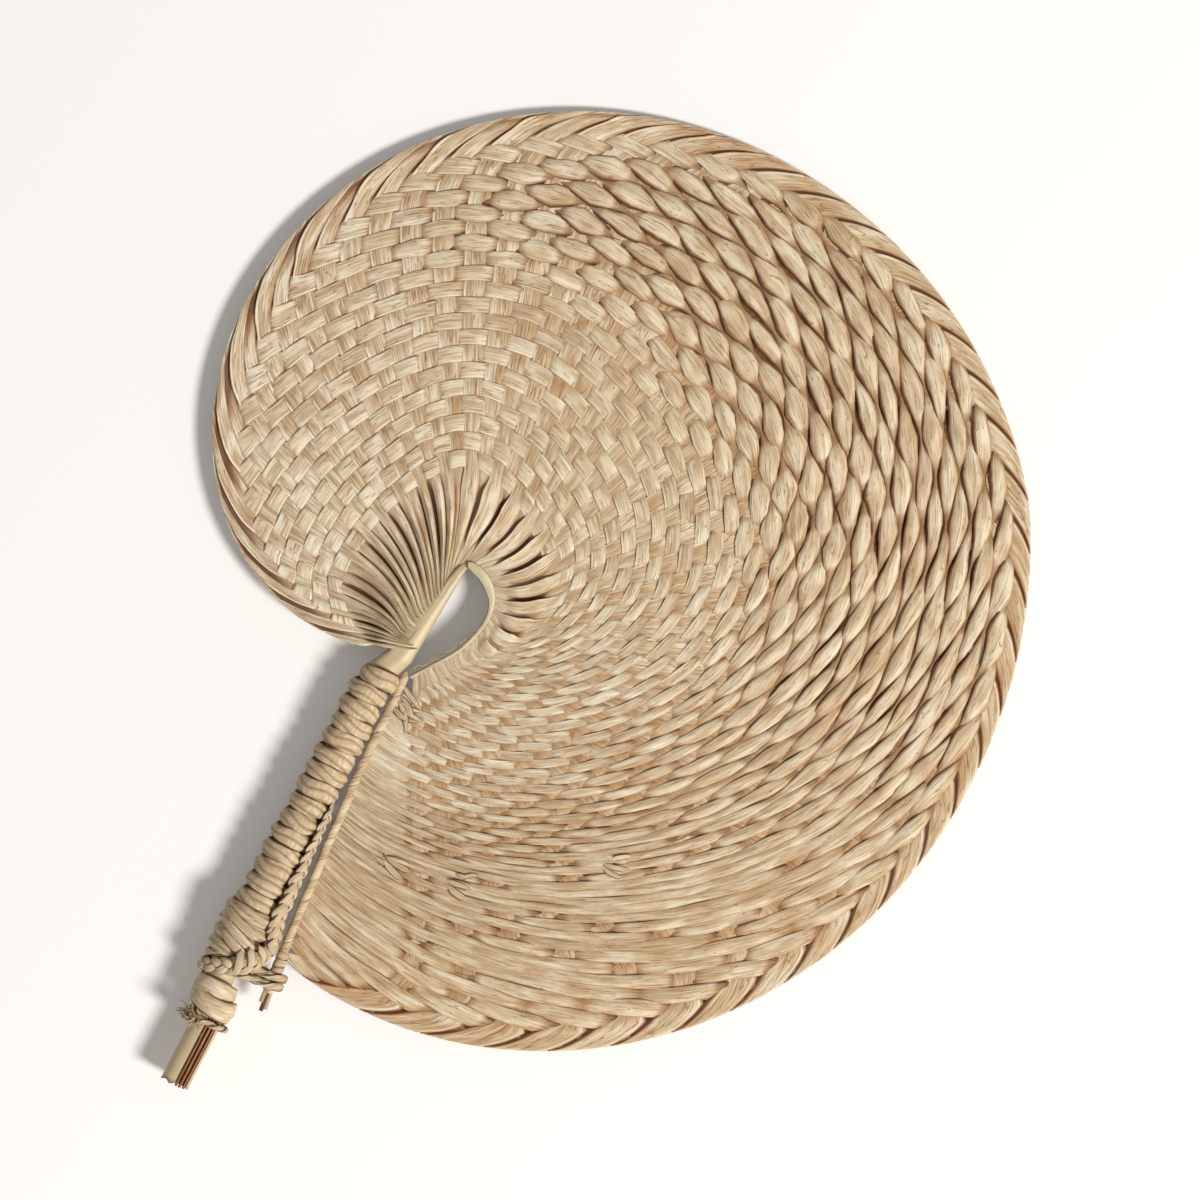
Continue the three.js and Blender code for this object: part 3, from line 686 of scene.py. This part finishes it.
def turns(top, pitch, count, start_angle, level):
    """Angle and height of turns down the handle; level 1.0 lays each turn's front square to the handle."""
    turn = np.linspace(0, count, int(count * 44) + 1)
    angle = math.radians(start_angle) - 2 * np.pi * turn
    return turn, angle, top - pitch * (turn - level / (2 * np.pi) * np.cos(angle))


def handle_wrap():
    """Turns of leaf round the grip, square to it in front, narrow at the left and drawn in beside the ridge."""
    turn, angle, y = turns(*GRIP_TURNS)
    tuck = np.exp(-((np.degrees(angle) - RIDGE_ANGLE + 180) % 360 - 180) ** 2 / 22 ** 2)
    tuck = tuck * smooth(-76, -86, y)
    half = WRAP_PITCH / 2 * (0.95 + 0.24 * np.cos(angle - 1.1) - 0.24 * tuck + 0.15 * sway(turn, 1.7, 51))
    radius = handle_reach(y) + 1.0 - 0.5 * tuck + 0.4 * sway(turn, 1.3, 52)
    path, outward = round_handle(angle, y + 0.3 * sway(turn, 3.1, 53), radius)
    ends = tapered(len(turn), 0.006, 0.006)
    tone = 0.5 + 0.5 * sway(turn, 4.1, 54)
    # Painted shade where the turns are drawn in beside the ridge.
    body = wound(path, outward, half * ends, 2.0 * ends, tone, 55, fold=0.62, shade=0.25 * tuck, spread=25)
    return [body]


def wrap_ridge():
    """Row of hitches that locks the lower turns, twisting down the grip's right front."""
    y = np.linspace(-80, -130, 220)
    angle = np.radians(RIDGE_ANGLE - 4 + 3 * sway(y, 11, 61))
    size = mix(1.15, 2.3, smooth(-84, -128, y)) * tapered(len(y), 0.12, 0.03)
    path, outward = round_handle(angle, y, handle_reach(y) + 2.1 + 0.75 * size)
    bodies = plait(path, outward, size, 2 * WRAP_PITCH, 0.3, 62, strands=3)
    return bodies


def butt_lashing():
    """Bulge of broad turns below the grip, with the ridge's rope curling under it and caught by loops."""
    turn, angle, y = turns(*LASHING_TURNS)
    ends = tapered(len(turn), 0.03, 0.03)
    radius = handle_reach(y) + 2.0 + 0.5 * sway(turn, 1.3, 71)
    path, outward = round_handle(angle, y, radius)
    bodies = [wound(path, outward, 2.6 * ends * (1 + 0.15 * sway(turn, 0.9, 72)), 3.0 * ends, 0.3, 73, fold=0.7)]
    for band in range(3):
        along = np.linspace(0, 1, 30)
        angle = np.radians(mix(168 - 16 * band, 48 - 8 * band, along))
        y = mix(-127.5 - 4 * band, -133.5 - 4.4 * band, along)
        path, outward = round_handle(angle, y, handle_reach(y) + 3.1 + 0.9 * np.sin(np.pi * along))
        bodies.append(wound(path, outward, 1.7 * tapered(30, 0.12, 0.12), 1.1, 0.2 + 0.3 * band, 171 + band, fold=0.4))

    # The rope's angle, height and distance from the stalk's middle
    rope = np.array([
        (30, -124, 10.0), (20, -130, 11.4), (17, -135.5, 12.0), (42, -141.5, 11.2), (82, -146, 9.4),
        (132, -149, 8.4), (190, -149.6, 7.8), (245, -149, 7.6),
    ])
    soft = np.ones(17) / 17
    angle, y, radius = (np.convolve(np.pad(v, 8, mode="edge"), soft, "valid") for v in resampled(rope, 150).T)
    path, outward = round_handle(np.radians(angle), y, radius)
    size = np.interp(np.arange(150), (0, 70, 110, 149), (2.3, 2.2, 1.5, 1.3)) * tapered(150, 0.03, 0.04)
    bodies += plait(path, outward, size, 12.0, 0.4, 74, strands=3)

    for loop in range(4):
        along, on = np.linspace(-1, 1, 26), loop / 3
        angle = np.radians(mix(22, 70, on) + mix(-16, -6, on) * along)
        y = mix(-134.5, -143, on) - mix(1.5, 4.6, on) * along
        path, outward = round_handle(angle, y, mix(11.2, 9.6, on) + 2.6 * np.cos(along * 1.35) ** 0.8)
        bodies.append(wound(path, outward, 1.4 * tapered(26, 0.2, 0.2), 0.9, 0.2 + 0.2 * loop, 75 + loop, fold=0.16))
    return bodies


def rib_at(y):
    """Point of the rib's line at a height on the handle."""
    top, end = HUB.at(1.0), RIM.at(1.0)
    y = np.asarray(y, float)
    share = (y - top[1]) / (end[1] - top[1])
    bow = RIB_BOW + RIB_EXTRA_BOW * np.sin(np.pi * np.clip(share, 0, 1))
    return stacked(mix(top[0], end[0], share) - bow, y, 0.0)


def rib_lashing():
    """Strands that tie the rib's lower end to the stalk, and the turns round the rib itself."""
    middle_y = -146.6
    rib_x, stalk_x = rib_at(middle_y)[0], handle_x(middle_y)
    big, small = handle_reach(middle_y) + 0.8, RIB_RADIUS + 1.1
    tangent = math.acos((big - small) / (rib_x - stalk_x))
    around = np.concatenate([np.linspace(2 * np.pi - tangent, tangent, 30), np.linspace(tangent, -tangent, 14)])
    on_rib = np.arange(44) >= 30
    radius = np.where(on_rib, small, big)
    x = np.where(on_rib, rib_x, stalk_x) + radius * np.cos(around)
    z = radius * np.sin(around)
    bodies = []
    for loop in range(2):
        y = middle_y + 2.2 - 3.1 * loop + 0.12 * (x - stalk_x) + 0.3 * sway(np.arange(44), 30, 81 + loop)
        outward = round_about(around)
        path = stacked(x, y, z) + 0.4 * outward
        path, outward = (np.vstack([v, v[:3]]) for v in (path, outward))
        path[-3:, 1] -= np.array([0.4, 0.8, 1.2])
        path, outward = resampled(path, 240), resampled(outward, 240)
        bodies += plait(path, outward, 1.6, 17.0, 0.3 + 0.2 * loop, 84 + 4 * loop)

    turn = np.linspace(0, 4.6, 150)
    outward = round_about(2 * np.pi * turn)
    path = rib_at(-134 - 2.9 * turn) + (RIB_RADIUS + 0.3) * outward
    bodies.append(wound(path, outward, 1.35 * tapered(150, 0.08, 0.05), 0.6, 0.6, 88, fold=0.12))
    return bodies


def butt_collar():
    """Two broad turns that cross each other above the stub."""
    turn, angle, y = turns(*COLLAR_TURNS)
    cross = np.cos(np.pi * turn / 1.05) * np.cos(angle - 0.5)
    path, outward = round_handle(angle, y + 1.9 * cross, handle_reach(y) + 0.7 + 0.75 * smooth(0.7, 1.5, turn))
    ends = tapered(len(turn), 0.04, 0.05)
    body = wound(path, outward, 3.6 * ends * (1 + 0.1 * sway(turn, 0.8, 91)), 1.5 * ends, 0.45, 92, fold=0.4)
    return [body]


def butt_knot():
    """Twisted ring round the stub, its ends teased out into a tuft at the left."""
    turn, angle, y = turns(*KNOT_TURNS)
    path, outward = round_handle(angle, y, handle_reach(y) + 1.0)
    bodies = plait(path, outward, 1.2 * tapered(len(turn), 0.05, 0.05), 9.0, 0.3, 101)
    fray = np.random.default_rng(11)
    for _ in range(46):
        angle = np.radians(fray.uniform(95, 205))
        y = KNOT_Y + fray.uniform(-2.0, 1.6)
        start, outward = round_handle(angle, y, handle_reach(KNOT_Y) + 0.7)
        out = outward * fray.uniform(0.5, 1.0)
        way = unit(out + np.array([-0.4, fray.uniform(-1.1, 0.7), fray.uniform(-0.2, 0.5)]))
        bend = unit(fray.normal(size=3)) * 0.55
        along = np.linspace(0, 1, 7)[:, None]
        length = fray.uniform(2.2, 4.6)
        path = start + length * (along * way + along ** 2 * bend)
        side = np.cross(way, bend) + 1e-6
        half = fray.uniform(0.25, 0.55) * tapered(7, 0, 0.6)
        tone = fray.uniform()
        bodies.append(wound(path, side, half, 0.16, tone, 102, fold=0.0, shade=fray.uniform(0, 0.5), spread=3))
    return bodies


def edge_rib(finish):
    """Stick along the free edge, wrapped in a spiral of leaf, splitting into splinters at its foot."""
    along = np.linspace(0, 1, 240)
    centre = rib_at(mix(RIB_TOP_Y, RIB_FOOT_Y, along))
    centre[:, 2] += 0.5 * np.sin(np.pi * along) + 0.12 * sway(along, 0.3, 111)
    centre[:, 0] += 0.25 * sway(along, 0.5, 112)
    run = along * 118
    angle = np.linspace(0, 2 * np.pi, 18, endpoint=False)
    wrap = (angle[None] / (2 * np.pi) - run[:, None] / 7.5) % 1.0
    girth = RIB_RADIUS * mix(0.95, 1, smooth(0, 0.25, along)) * tapered(len(along), 0.02, 0.01)
    radius = girth[:, None] * (0.94 + 0.1 * wrap)
    rings = centre[:, None] + radius[..., None] * round_about(angle)[None]
    # Painted shade at the step where each turn of the rib's wrapping laps the next.
    shade = 0.6 * smooth(0.9, 1.0, wrap) + 0.3 * smooth(0.1, 0.0, wrap)
    bodies = [(rings, marked(run[:, None], mix(-1, 1, wrap), 1.0, shade, 0.4))]
    for k, (x, end, brown) in enumerate(((-1.1, -152.4, 0.2), (0.1, -155.2, 1.0), (1.2, -154.2, 0.1))):
        path = rib_at(np.linspace(-140, end, 20)) + np.array([x, 0, 0.6 - 0.4 * k]) * np.linspace(0.4, 1, 20)[:, None]
        path[:, 0] += 0.4 * np.linspace(0, 1, 20) ** 2
        bodies.append(wound(path, UP, 0.75, 0.8, 0.2 + 0.3 * k, 113 + k, fold=0.08, shade=brown))
    put("edge_rib", bodies, finish, ["edge_rib"])


def leaf_stalk(finish):
    """The stalk: a grooved stub, the grip's core, and the flat leaf base beside the hub hole."""
    y = np.concatenate([
        np.linspace(BUTT_Y, GROOVE_END_Y, 26),
        np.linspace(GROOVE_END_Y + 0.8, NECK_Y - 3, 50),
        np.linspace(NECK_Y - 1, STALK_TIP_Y, 60),
    ])
    hub_left = np.interp(y, HUB.points[:240, 1], HUB.points[:240, 0])
    on_base = smooth(-31, -25, y)
    neck = smooth(NECK_Y - 7, NECK_Y, y)
    neck_span = (NECK_Y, BASE_START_Y)
    left = mix(handle_x(y) - handle_half(y), np.interp(y, neck_span, (-16.4, -12.9)), neck)
    left = np.where(y < BASE_START_Y, left, hub_left + 0.5)
    right = mix(handle_x(y) + handle_half(y), np.interp(y, neck_span, (-5.6, HOLE_EDGE_X[0])), neck)
    right = np.where(y < BASE_START_Y, right, hole_edge(y))
    high = mix(0.9 * handle_half(y), base_top(y), on_base) * (1 - 0.75 * smooth(10, 13, y))
    middle, half = (left + right) / 2, np.maximum((right - left) / 2, 0.25)
    groove = fade(GROOVE_END_Y - 0.5, GROOVE_END_Y + 0.5, y)
    spots = np.array([-1, -0.97, -0.88, -0.72, -0.52, -0.32, -0.12, 0.02, 0.04, 0.84, 0.86, 0.92, 0.97, 1.0])
    in_groove = (spots > 0.03) & (spots < 0.85)
    round_top = np.maximum(1 - np.abs(spots) ** mix(2.6, 5.0, on_base)[:, None], 0) ** 0.45
    top = high[:, None] * round_top * np.where(in_groove, 1 - 0.9 * groove[:, None], 1)
    stripes = 0.06 * np.sin(spots * 34)[None] * (1 - groove[:, None])
    low = -high[:, None] * round_top[:, ::-1]
    x = middle[:, None] + half[:, None] * spots
    end = 0.5 * np.sin(spots * 9 + 1) * (y == BUTT_Y)[:, None]
    upper = stacked(x, y[:, None] + end, top + stripes)
    lower = stacked(x[:, ::-1], y[:, None] - end[:, ::-1], low)
    rings = np.concatenate([upper, lower], 1)
    around = there_and_back(spots[None])
    cut = fade(BUTT_Y, BUTT_Y + 1.2, y)
    marks = marked(y[:, None], around, on_base[:, None], cut[:, None], 0.5)
    put("leaf_stalk", [(rings, marks)], finish, ["leaf_stalk"])


def stalk_splints(finish):
    """Brown splints that show in the stub's groove."""
    y = np.linspace(BUTT_Y - 0.2, GROOVE_END_Y - 0.3, 30)
    for k in range(3):
        place = mix(0.17, 0.71, k / 2)
        x = handle_x(y) + handle_half(y) * place + 0.05 * sway(y, 9, 121 + k)
        high = 0.9 * handle_half(y) * (1 - place ** 2.6) ** 0.45
        path = stacked(x, y, high - 1.5 + 0.1 * sway(y, 13, 124 + k))
        body = wound(path, UP, 0.52, 3.0, 0.2 + 0.3 * k, 127 + k, fold=0.05, shade=0.1)
        name = f"stalk_splint_{k + 1}"
        put(name, [body], finish, [name])


def hub_hem(finish):
    """Rolled edge of the leaf round the hole's far side: broad past the leaf base's tip, then narrow and bright."""
    share = np.linspace(HEM_START, HEM_END, 140)
    point = HUB.at(share)
    run_way = unit(np.gradient(point, axis=0))
    inward = stacked(run_way[:, 1], -run_way[:, 0])
    width = np.interp(share, (HEM_START, 0.45, 0.54, 0.64, 0.8, HEM_END), (2.6, 3.6, 3.2, 1.7, 1.3, 1.1))
    middle = point + inward * (0.5 + width / 2)[:, None]
    height = np.interp(share, (HEM_START, 0.5, 0.6, 0.955), (1.1, 1.0, 0.9, 0.8)) + 0.12 * sway(share, 0.2, 131)
    path = stacked(*middle.T, height)
    tilt = np.interp(share, (HEM_START, 0.6, 0.7), (0.1, 0.25, 0.5))
    outward = stacked(*(-inward.T * tilt), 1.0)
    body = wound(path, outward, width / 2, 1.5, 0.5, 132, fold=0.12)
    put("hub_hem", [body], finish, ["hub_hem"])


def hub_pleats(finish):
    """Fine ridges where the strips' pleats run on down the leaf base."""
    bodies = []
    for strip in range(2, 23):
        root = HUB.at(hub_share(strip - hub_sweep(strip)))
        length = min(15.0, 0.6 * (root[1] + 27))
        down = np.linspace(-1.2, length, 26)
        y = np.minimum(root[1], 12.0) - down
        spread = 0.62 * (1 - np.exp(-np.maximum(down, 0) / 6.5))
        left = root[0] - 0.28 * down + 0.6
        x = np.where(down < 0, root[0] + 0.3 * down, mix(left, hole_edge(y), spread))
        z = base_top(y) * np.maximum(1 - np.abs(2 * spread - 1) ** 2.6, 0.05) ** 0.45 + 0.02
        path = stacked(x, y, z)
        bodies.append(wound(path, UP, 0.34 * tapered(26, 0.1, 0.7), 0.55, 0.5, 141 + strip, fold=0.0, spread=5))
    put("hub_pleats", bodies, finish)


def hole_fibres(finish):
    """Loose fibres along the hole's hem."""
    stray = np.random.default_rng(23)
    bodies = []
    for _ in range(16):
        share = stray.uniform(0.70, 0.93)
        point, ahead = HUB.at(share), HUB.at(share + stray.uniform(0.03, 0.09))
        run_way = unit(ahead - point)
        inward = np.array([run_way[1], -run_way[0]])
        along = np.linspace(0, 1, 16)[:, None]
        bow = stray.uniform(0.4, 1.6) * np.sin(np.pi * along)
        flat = mix(point, ahead, along) + inward * (1.9 + bow + stray.uniform(0, 0.5) * along)
        height = 1.0 + 0.5 * np.sin(np.pi * along) * stray.uniform(-1.0, 1.0)
        path = np.concatenate([flat, height], 1)
        tone = stray.uniform()
        bodies.append(wound(path, UP, 0.08, 0.1, tone, 151, fold=0.0, shade=stray.uniform(0.4, 0.9), spread=3))
    put("hole_fibres", bodies, finish)


def tucked_ends(finish):
    """Short ends of leaf that stand out of the weave where they are tucked, and beside the rib's top."""
    stray = np.random.default_rng(31)
    index, share = np.meshgrid(np.linspace(36, LAST_STRIP + 5, 260), np.linspace(0.02, 1, 200))
    place = blade_point(index, share)
    height = blade_height(index, place)
    # Place, how many ends, their length and their heading
    spots = [
        (94.5, -52.5, 6, 9.0, 205), (50.0, -84.0, 5, 9.0, 192),
        (27.0, -90.0, 7, 10.0, 180), (-1.5, -40.0, 9, 10.0, -24),
    ]
    bodies = []
    for x, y, count, length, heading in spots:
        for _ in range(count):
            start = np.array([x, y]) + stray.normal(size=2) * (1.2, 3.0)
            way = math.radians(stray.normal(heading, 8))
            bend = stray.normal(0, 0.3)
            along = np.linspace(0, 1, 14)
            turn = way + bend * along
            reach = length * stray.uniform(0.6, 1.2)
            flat = start + reach * stacked(along * np.cos(turn), along * np.sin(turn))
            ground = [height.ravel()[np.argmin(np.sum((place - spot) ** 2, -1))] for spot in flat]
            rise = 0.7 + stray.uniform(0.3, 1.0) * np.sin(np.pi * along) - 0.3 * along
            path = stacked(*flat.T, ground + rise)
            outward = np.array([stray.normal(0, 0.3), stray.normal(0, 0.3), 1.0])
            half = stray.uniform(0.7, 1.5) * tapered(14, 0.2, 0.4)
            tone = stray.uniform()
            bodies.append(wound(path, outward, half, 0.3, tone, 161, fold=0.1, shade=stray.uniform(0, 0.35), spread=5))
    put("tucked_ends", bodies, finish)


def display(red, green, blue):
    """Linear colour from display values of 0 to 255."""
    return tuple(((v / 255 + 0.055) / 1.055) ** 2.4 if v > 10 else v / 255 / 12.92 for v in (red, green, blue)) + (1.0,)


class Wire:
    """A socket's value in a sum; sums of wires and numbers add Math nodes."""

    def __init__(self, finish, socket):
        self.finish = finish
        self.socket = socket

    def sum(self, operation, *values):
        return self.finish.node("Math", {"operation": operation}, dict(enumerate(values)))

    def __add__(self, other):
        return self.sum("ADD", self, other)

    def __sub__(self, other):
        return self.sum("SUBTRACT", self, other)

    def __mul__(self, other):
        return self.sum("MULTIPLY", self, other)

    def __radd__(self, other):
        return self.sum("ADD", other, self)

    def __rsub__(self, other):
        return self.sum("SUBTRACT", other, self)

    def __rmul__(self, other):
        return self.sum("MULTIPLY", other, self)

    def __abs__(self):
        return self.sum("ABSOLUTE", self)


def pick(sockets, key):
    """A node's socket by its number, its identifier or its name."""
    return sockets[key] if isinstance(key, int) else next(s for s in sockets if key in (s.identifier, s.name))


class Finish:
    """A material under the brush."""

    def __init__(self, name):
        self.material = bpy.data.materials.new(name)
        self.material.use_nodes = True
        self.tree = self.material.node_tree
        self.shader = self.tree.nodes["Principled BSDF"]

    def feed(self, node, key, value):
        socket = pick(node.inputs, key)
        if isinstance(value, Wire):
            self.tree.links.new(value.socket, socket)
        else:
            socket.default_value = value

    def node(self, kind, settings, sockets, output=0):
        made = self.tree.nodes.new("ShaderNode" + kind)
        for name, value in settings.items():
            setattr(made, name, value)
        for key, value in sockets.items():
            self.feed(made, key, value)
        return Wire(self, pick(made.outputs, output))

    def mark(self, name):
        return self.node("Attribute", {"attribute_name": name}, {}, "Fac")

    def layered(self, colour, *layers):
        """A colour with others laid over it in turn, each by its share."""
        for share, over in layers:
            sockets = {"Factor_Float": share, "A_Color": colour, "B_Color": over}
            colour = self.node("Mix", {"data_type": "RGBA"}, sockets, "Result_Color")
        return colour

    def step(self, value, low, high):
        settings = {"interpolation_type": "SMOOTHSTEP"}
        return self.node("MapRange", settings, {"Value": value, "From Min": low, "From Max": high}, "Result")

    def grain(self, along, over, apart, scale, detail=2.0):
        """Noise drawn out along a strip."""
        sockets = {"X": self.mark("run") * along, "Y": self.mark("across") * over, "Z": apart}
        place = self.node("CombineXYZ", {}, sockets)
        return self.node("TexNoise", {}, {"Vector": place, "Scale": scale, "Detail": detail})

    def paint(self, **sockets):
        for name, value in sockets.items():
            self.feed(self.shader, name.replace("_", " "), value)
        return self.material


def leaf_finish(name, colours, mottle=1.0):
    """Dry palm leaf: fibres along the strip, pale mottling that is partly a painted highlight, a pale vein by one edge,
    brown edges, and painted shade in the creases and wherever the shade mark lies.
    """
    face_colour, back_colour, brown, dark_shade, pale = (display(*colour) for colour in colours)
    f = Finish(name)
    across, face, shade, tone, bleached = (f.mark(m) for m in ("across", "face", "shade", "tone", "bleached"))
    fibre = f.grain(0.02, 2.2, tone * 40, 3.0, 4.0)
    blotch = f.grain(0.05, 0.5, tone * 70 + 9, 1.8, 3.0)
    crease = 1 - f.step(abs(f.grain(0.016, 1.5, tone * 50 + 3, 2.2) - 0.5), 0.0, 0.02)
    fold = 1 - f.step(abs(f.grain(0.022, 1.1, tone * 30 + 5, 2.0, 1.0) - 0.5), 0.0, 0.014)
    thread = f.grain(0.012, 9, tone * 90, 2.0)
    vein = 1 - f.step(abs(across + 0.84), 0.04, 0.11)
    colour = f.layered(
        face_colour,
        (face, back_colour),
        (bleached * 0.12, pale),
        (f.mark("green") * 0.8, display(*BASE_GREEN)),
        (f.step(blotch, 0.56, 0.34) * (0.4 * mottle), brown),
        (f.step(fibre, 0.45, 0.7) * (0.4 * mottle + 0.3 * bleached), pale),
        # Pale blotches: partly the leaf's own mottling, partly a painted highlight.
        (f.step(blotch, 0.48, 0.7) * (0.5 + 0.4 * bleached), pale),
        # Brown along the creases and folds that the bump sinks: painted shade in these grooves.
        (crease * (0.55 * mottle), brown),
        (fold * (0.7 * mottle), brown),
        (f.step(tone, 0.6, 1.0) * 0.2, brown),
        (vein * (0.45 + 0.45 * bleached) * (1 - shade), pale),
        (f.step(abs(across), 0.9, 1.0) * 0.5, brown),
        # Brown, then dark brown, as the shade mark rises: painted shade on most pieces, the own brown of the splints
        # and loose ends.
        (f.step(shade, 0.15, 0.6) * 0.55, brown),
        (f.step(shade, 0.5, 1.0) * 0.9, dark_shade),
    )
    bump = f.node("Bump", {}, {"Strength": 0.6, "Distance": 0.0004, "Height": thread + fibre * 0.6 - crease - fold})
    return f.paint(Base_Color=colour, Roughness=0.36 + 0.22 * blotch, Normal=bump, Specular_IOR_Level=0.25)


def stalk_finish(name, colours):
    """Smooth dry stalk: long fine pale streaks over straw and green patches, brown where it is cut."""
    straw, green, streak, cut_colour = (display(*colour) for colour in colours)
    f = Finish(name)
    across, face, shade = (f.mark(m) for m in ("across", "face", "shade"))
    fine = f.grain(0.03, 12, 3.0, 2.0, 4.0)
    broad = f.grain(0.05, 2, 7.0, 1.5)
    colour = f.layered(
        straw,
        (f.step(broad, 0.3, 0.7) * 0.7, green),
        (f.step(fine, 0.5, 0.72) * 0.45, streak),
        (f.step(abs(across), 0.8, 1.0) * 0.35 * (1 - face), cut_colour),
        (shade, cut_colour),
    )
    bump = f.node("Bump", {}, {"Strength": 0.25, "Distance": 0.0002, "Height": fine})
    return f.paint(Base_Color=colour, Roughness=0.3 + 0.2 * broad, Normal=bump)


def light_and_floor():
    scene = bpy.context.scene
    scene.view_settings.view_transform = "Standard"
    world = bpy.data.worlds.new("studio")
    world.use_nodes = True
    sky = world.node_tree.nodes["Background"].inputs
    sky["Color"].default_value = (1.0, 0.96, 0.9, 1)
    sky["Strength"].default_value = WORLD_STRENGTH
    scene.world = world

    key = bpy.data.lights.new("key", "AREA")
    key.shape = "DISK"
    key.size = KEY_SIZE
    key.energy = KEY_WATTS
    key.color = (1.0, 0.975, 0.935)
    lamp = placed("key", key)
    aim = Vector((0, 0, 0.01))
    rise, turn = math.radians(KEY_RISE), math.radians(KEY_TURN)
    away = Vector((math.cos(turn) * math.cos(rise), math.sin(turn) * math.cos(rise), math.sin(rise)))
    lamp.location = aim + KEY_DISTANCE * away
    lamp.rotation_euler = (-away).to_track_quat("-Z", "Y").to_euler()

    floor_mesh = bpy.data.meshes.new("floor")
    corners = [(x * FLOOR_HALF, y * FLOOR_HALF, 0) for x, y in ((-1, -1), (1, -1), (1, 1), (-1, 1))]
    floor_mesh.from_pydata(corners, [], [(0, 1, 2, 3)])
    floor = placed("floor", floor_mesh)
    f = Finish("white_floor")
    f.paint(Base_Color=(0.97, 0.97, 0.97, 1), Roughness=0.9)
    seen = sum(f.node("LightPath", {}, {}, f"Is {kind} Ray") for kind in ("Camera", "Glossy", "Transmission"))
    white = f.node("Emission", {}, {"Color": (1, 1, 1, 1), "Strength": 1.0})
    plain = Wire(f, f.shader.outputs["BSDF"])
    mixed = f.node("MixShader", {}, {0: seen * FLOOR_GLOW, 1: plain, 2: white})
    f.feed(f.tree.nodes["Material Output"], "Surface", mixed)
    floor_mesh.materials.append(f.material)


def camera():
    lens = bpy.data.cameras.new("camera")
    lens.sensor_width = SENSOR_WIDTH
    lens.lens = SENSOR_WIDTH * CAMERA_HEIGHT / VIEW_WIDTH
    eye = placed("camera", lens)
    x, y = np.array(VIEW_CENTRE) + SHIFT[:2]
    eye.location = (x / 1000, y / 1000, (SHIFT[2] + BLADE_LEVEL + CAMERA_HEIGHT) / 1000)
    eye.rotation_euler = (0, 0, math.radians(VIEW_ROLL))
    bpy.context.scene.camera = eye


camera()
light_and_floor()
leaf = leaf_finish("palm_leaf", [(208, 181, 143), (225, 205, 171), (163, 108, 44), (80, 33, 3), (252, 242, 219)])
stands_for = [[] for _ in range(STRIP_COUNT)]
for cad_strip in range(CAD_STRIP_COUNT):
    ahead = mix(1.0, 0.2, smooth(14, 30, cad_strip)) * smooth(0, 8, cad_strip)
    strip = round(cad_strip * LAST_STRIP / (CAD_STRIP_COUNT - 1) + ahead)
    stands_for[strip].append(f"leaf_strip_{cad_strip + 1:02d}")
for strip, nodes in enumerate(stands_for):
    leaf_strip(strip, leaf, nodes)

binding = leaf_finish(
    "wound_leaf", [(208, 186, 150), (214, 192, 156), (160, 118, 72), (70, 34, 10), (244, 232, 208)], mottle=0.45,
)
stick = leaf_finish("wrapped_stick", [(208, 184, 146), (214, 190, 152), (150, 106, 62), (100, 58, 26), (240, 226, 196)])
# The hem's paler colour is partly the leaf's own and partly a painted highlight along the rolled edge.
hem = leaf_finish("pale_hem", [(222, 208, 170), (226, 214, 178), (190, 160, 112), (120, 78, 40), (246, 238, 212)])
stalk = stalk_finish("dry_stalk", [(200, 178, 142), (192, 176, 136), (222, 206, 172), (132, 88, 50)])
splint = leaf_finish("brown_splint", [(160, 110, 70), (164, 112, 72), (120, 70, 36), (86, 44, 18), (206, 168, 124)])
leaf_stalk(stalk)
stalk_splints(splint)
hub_pleats(stalk)
hub_hem(hem)
hole_fibres(hem)
tucked_ends(leaf)
edge_rib(stick)
windings = {
    "handle_wrap": handle_wrap(), "wrap_ridge": wrap_ridge(), "butt_lashing": butt_lashing(),
    "rib_lashing": rib_lashing(), "butt_collar": butt_collar(), "butt_knot": butt_knot(),
}
for name, bodies in windings.items():
    put(name, bodies, binding, [name])
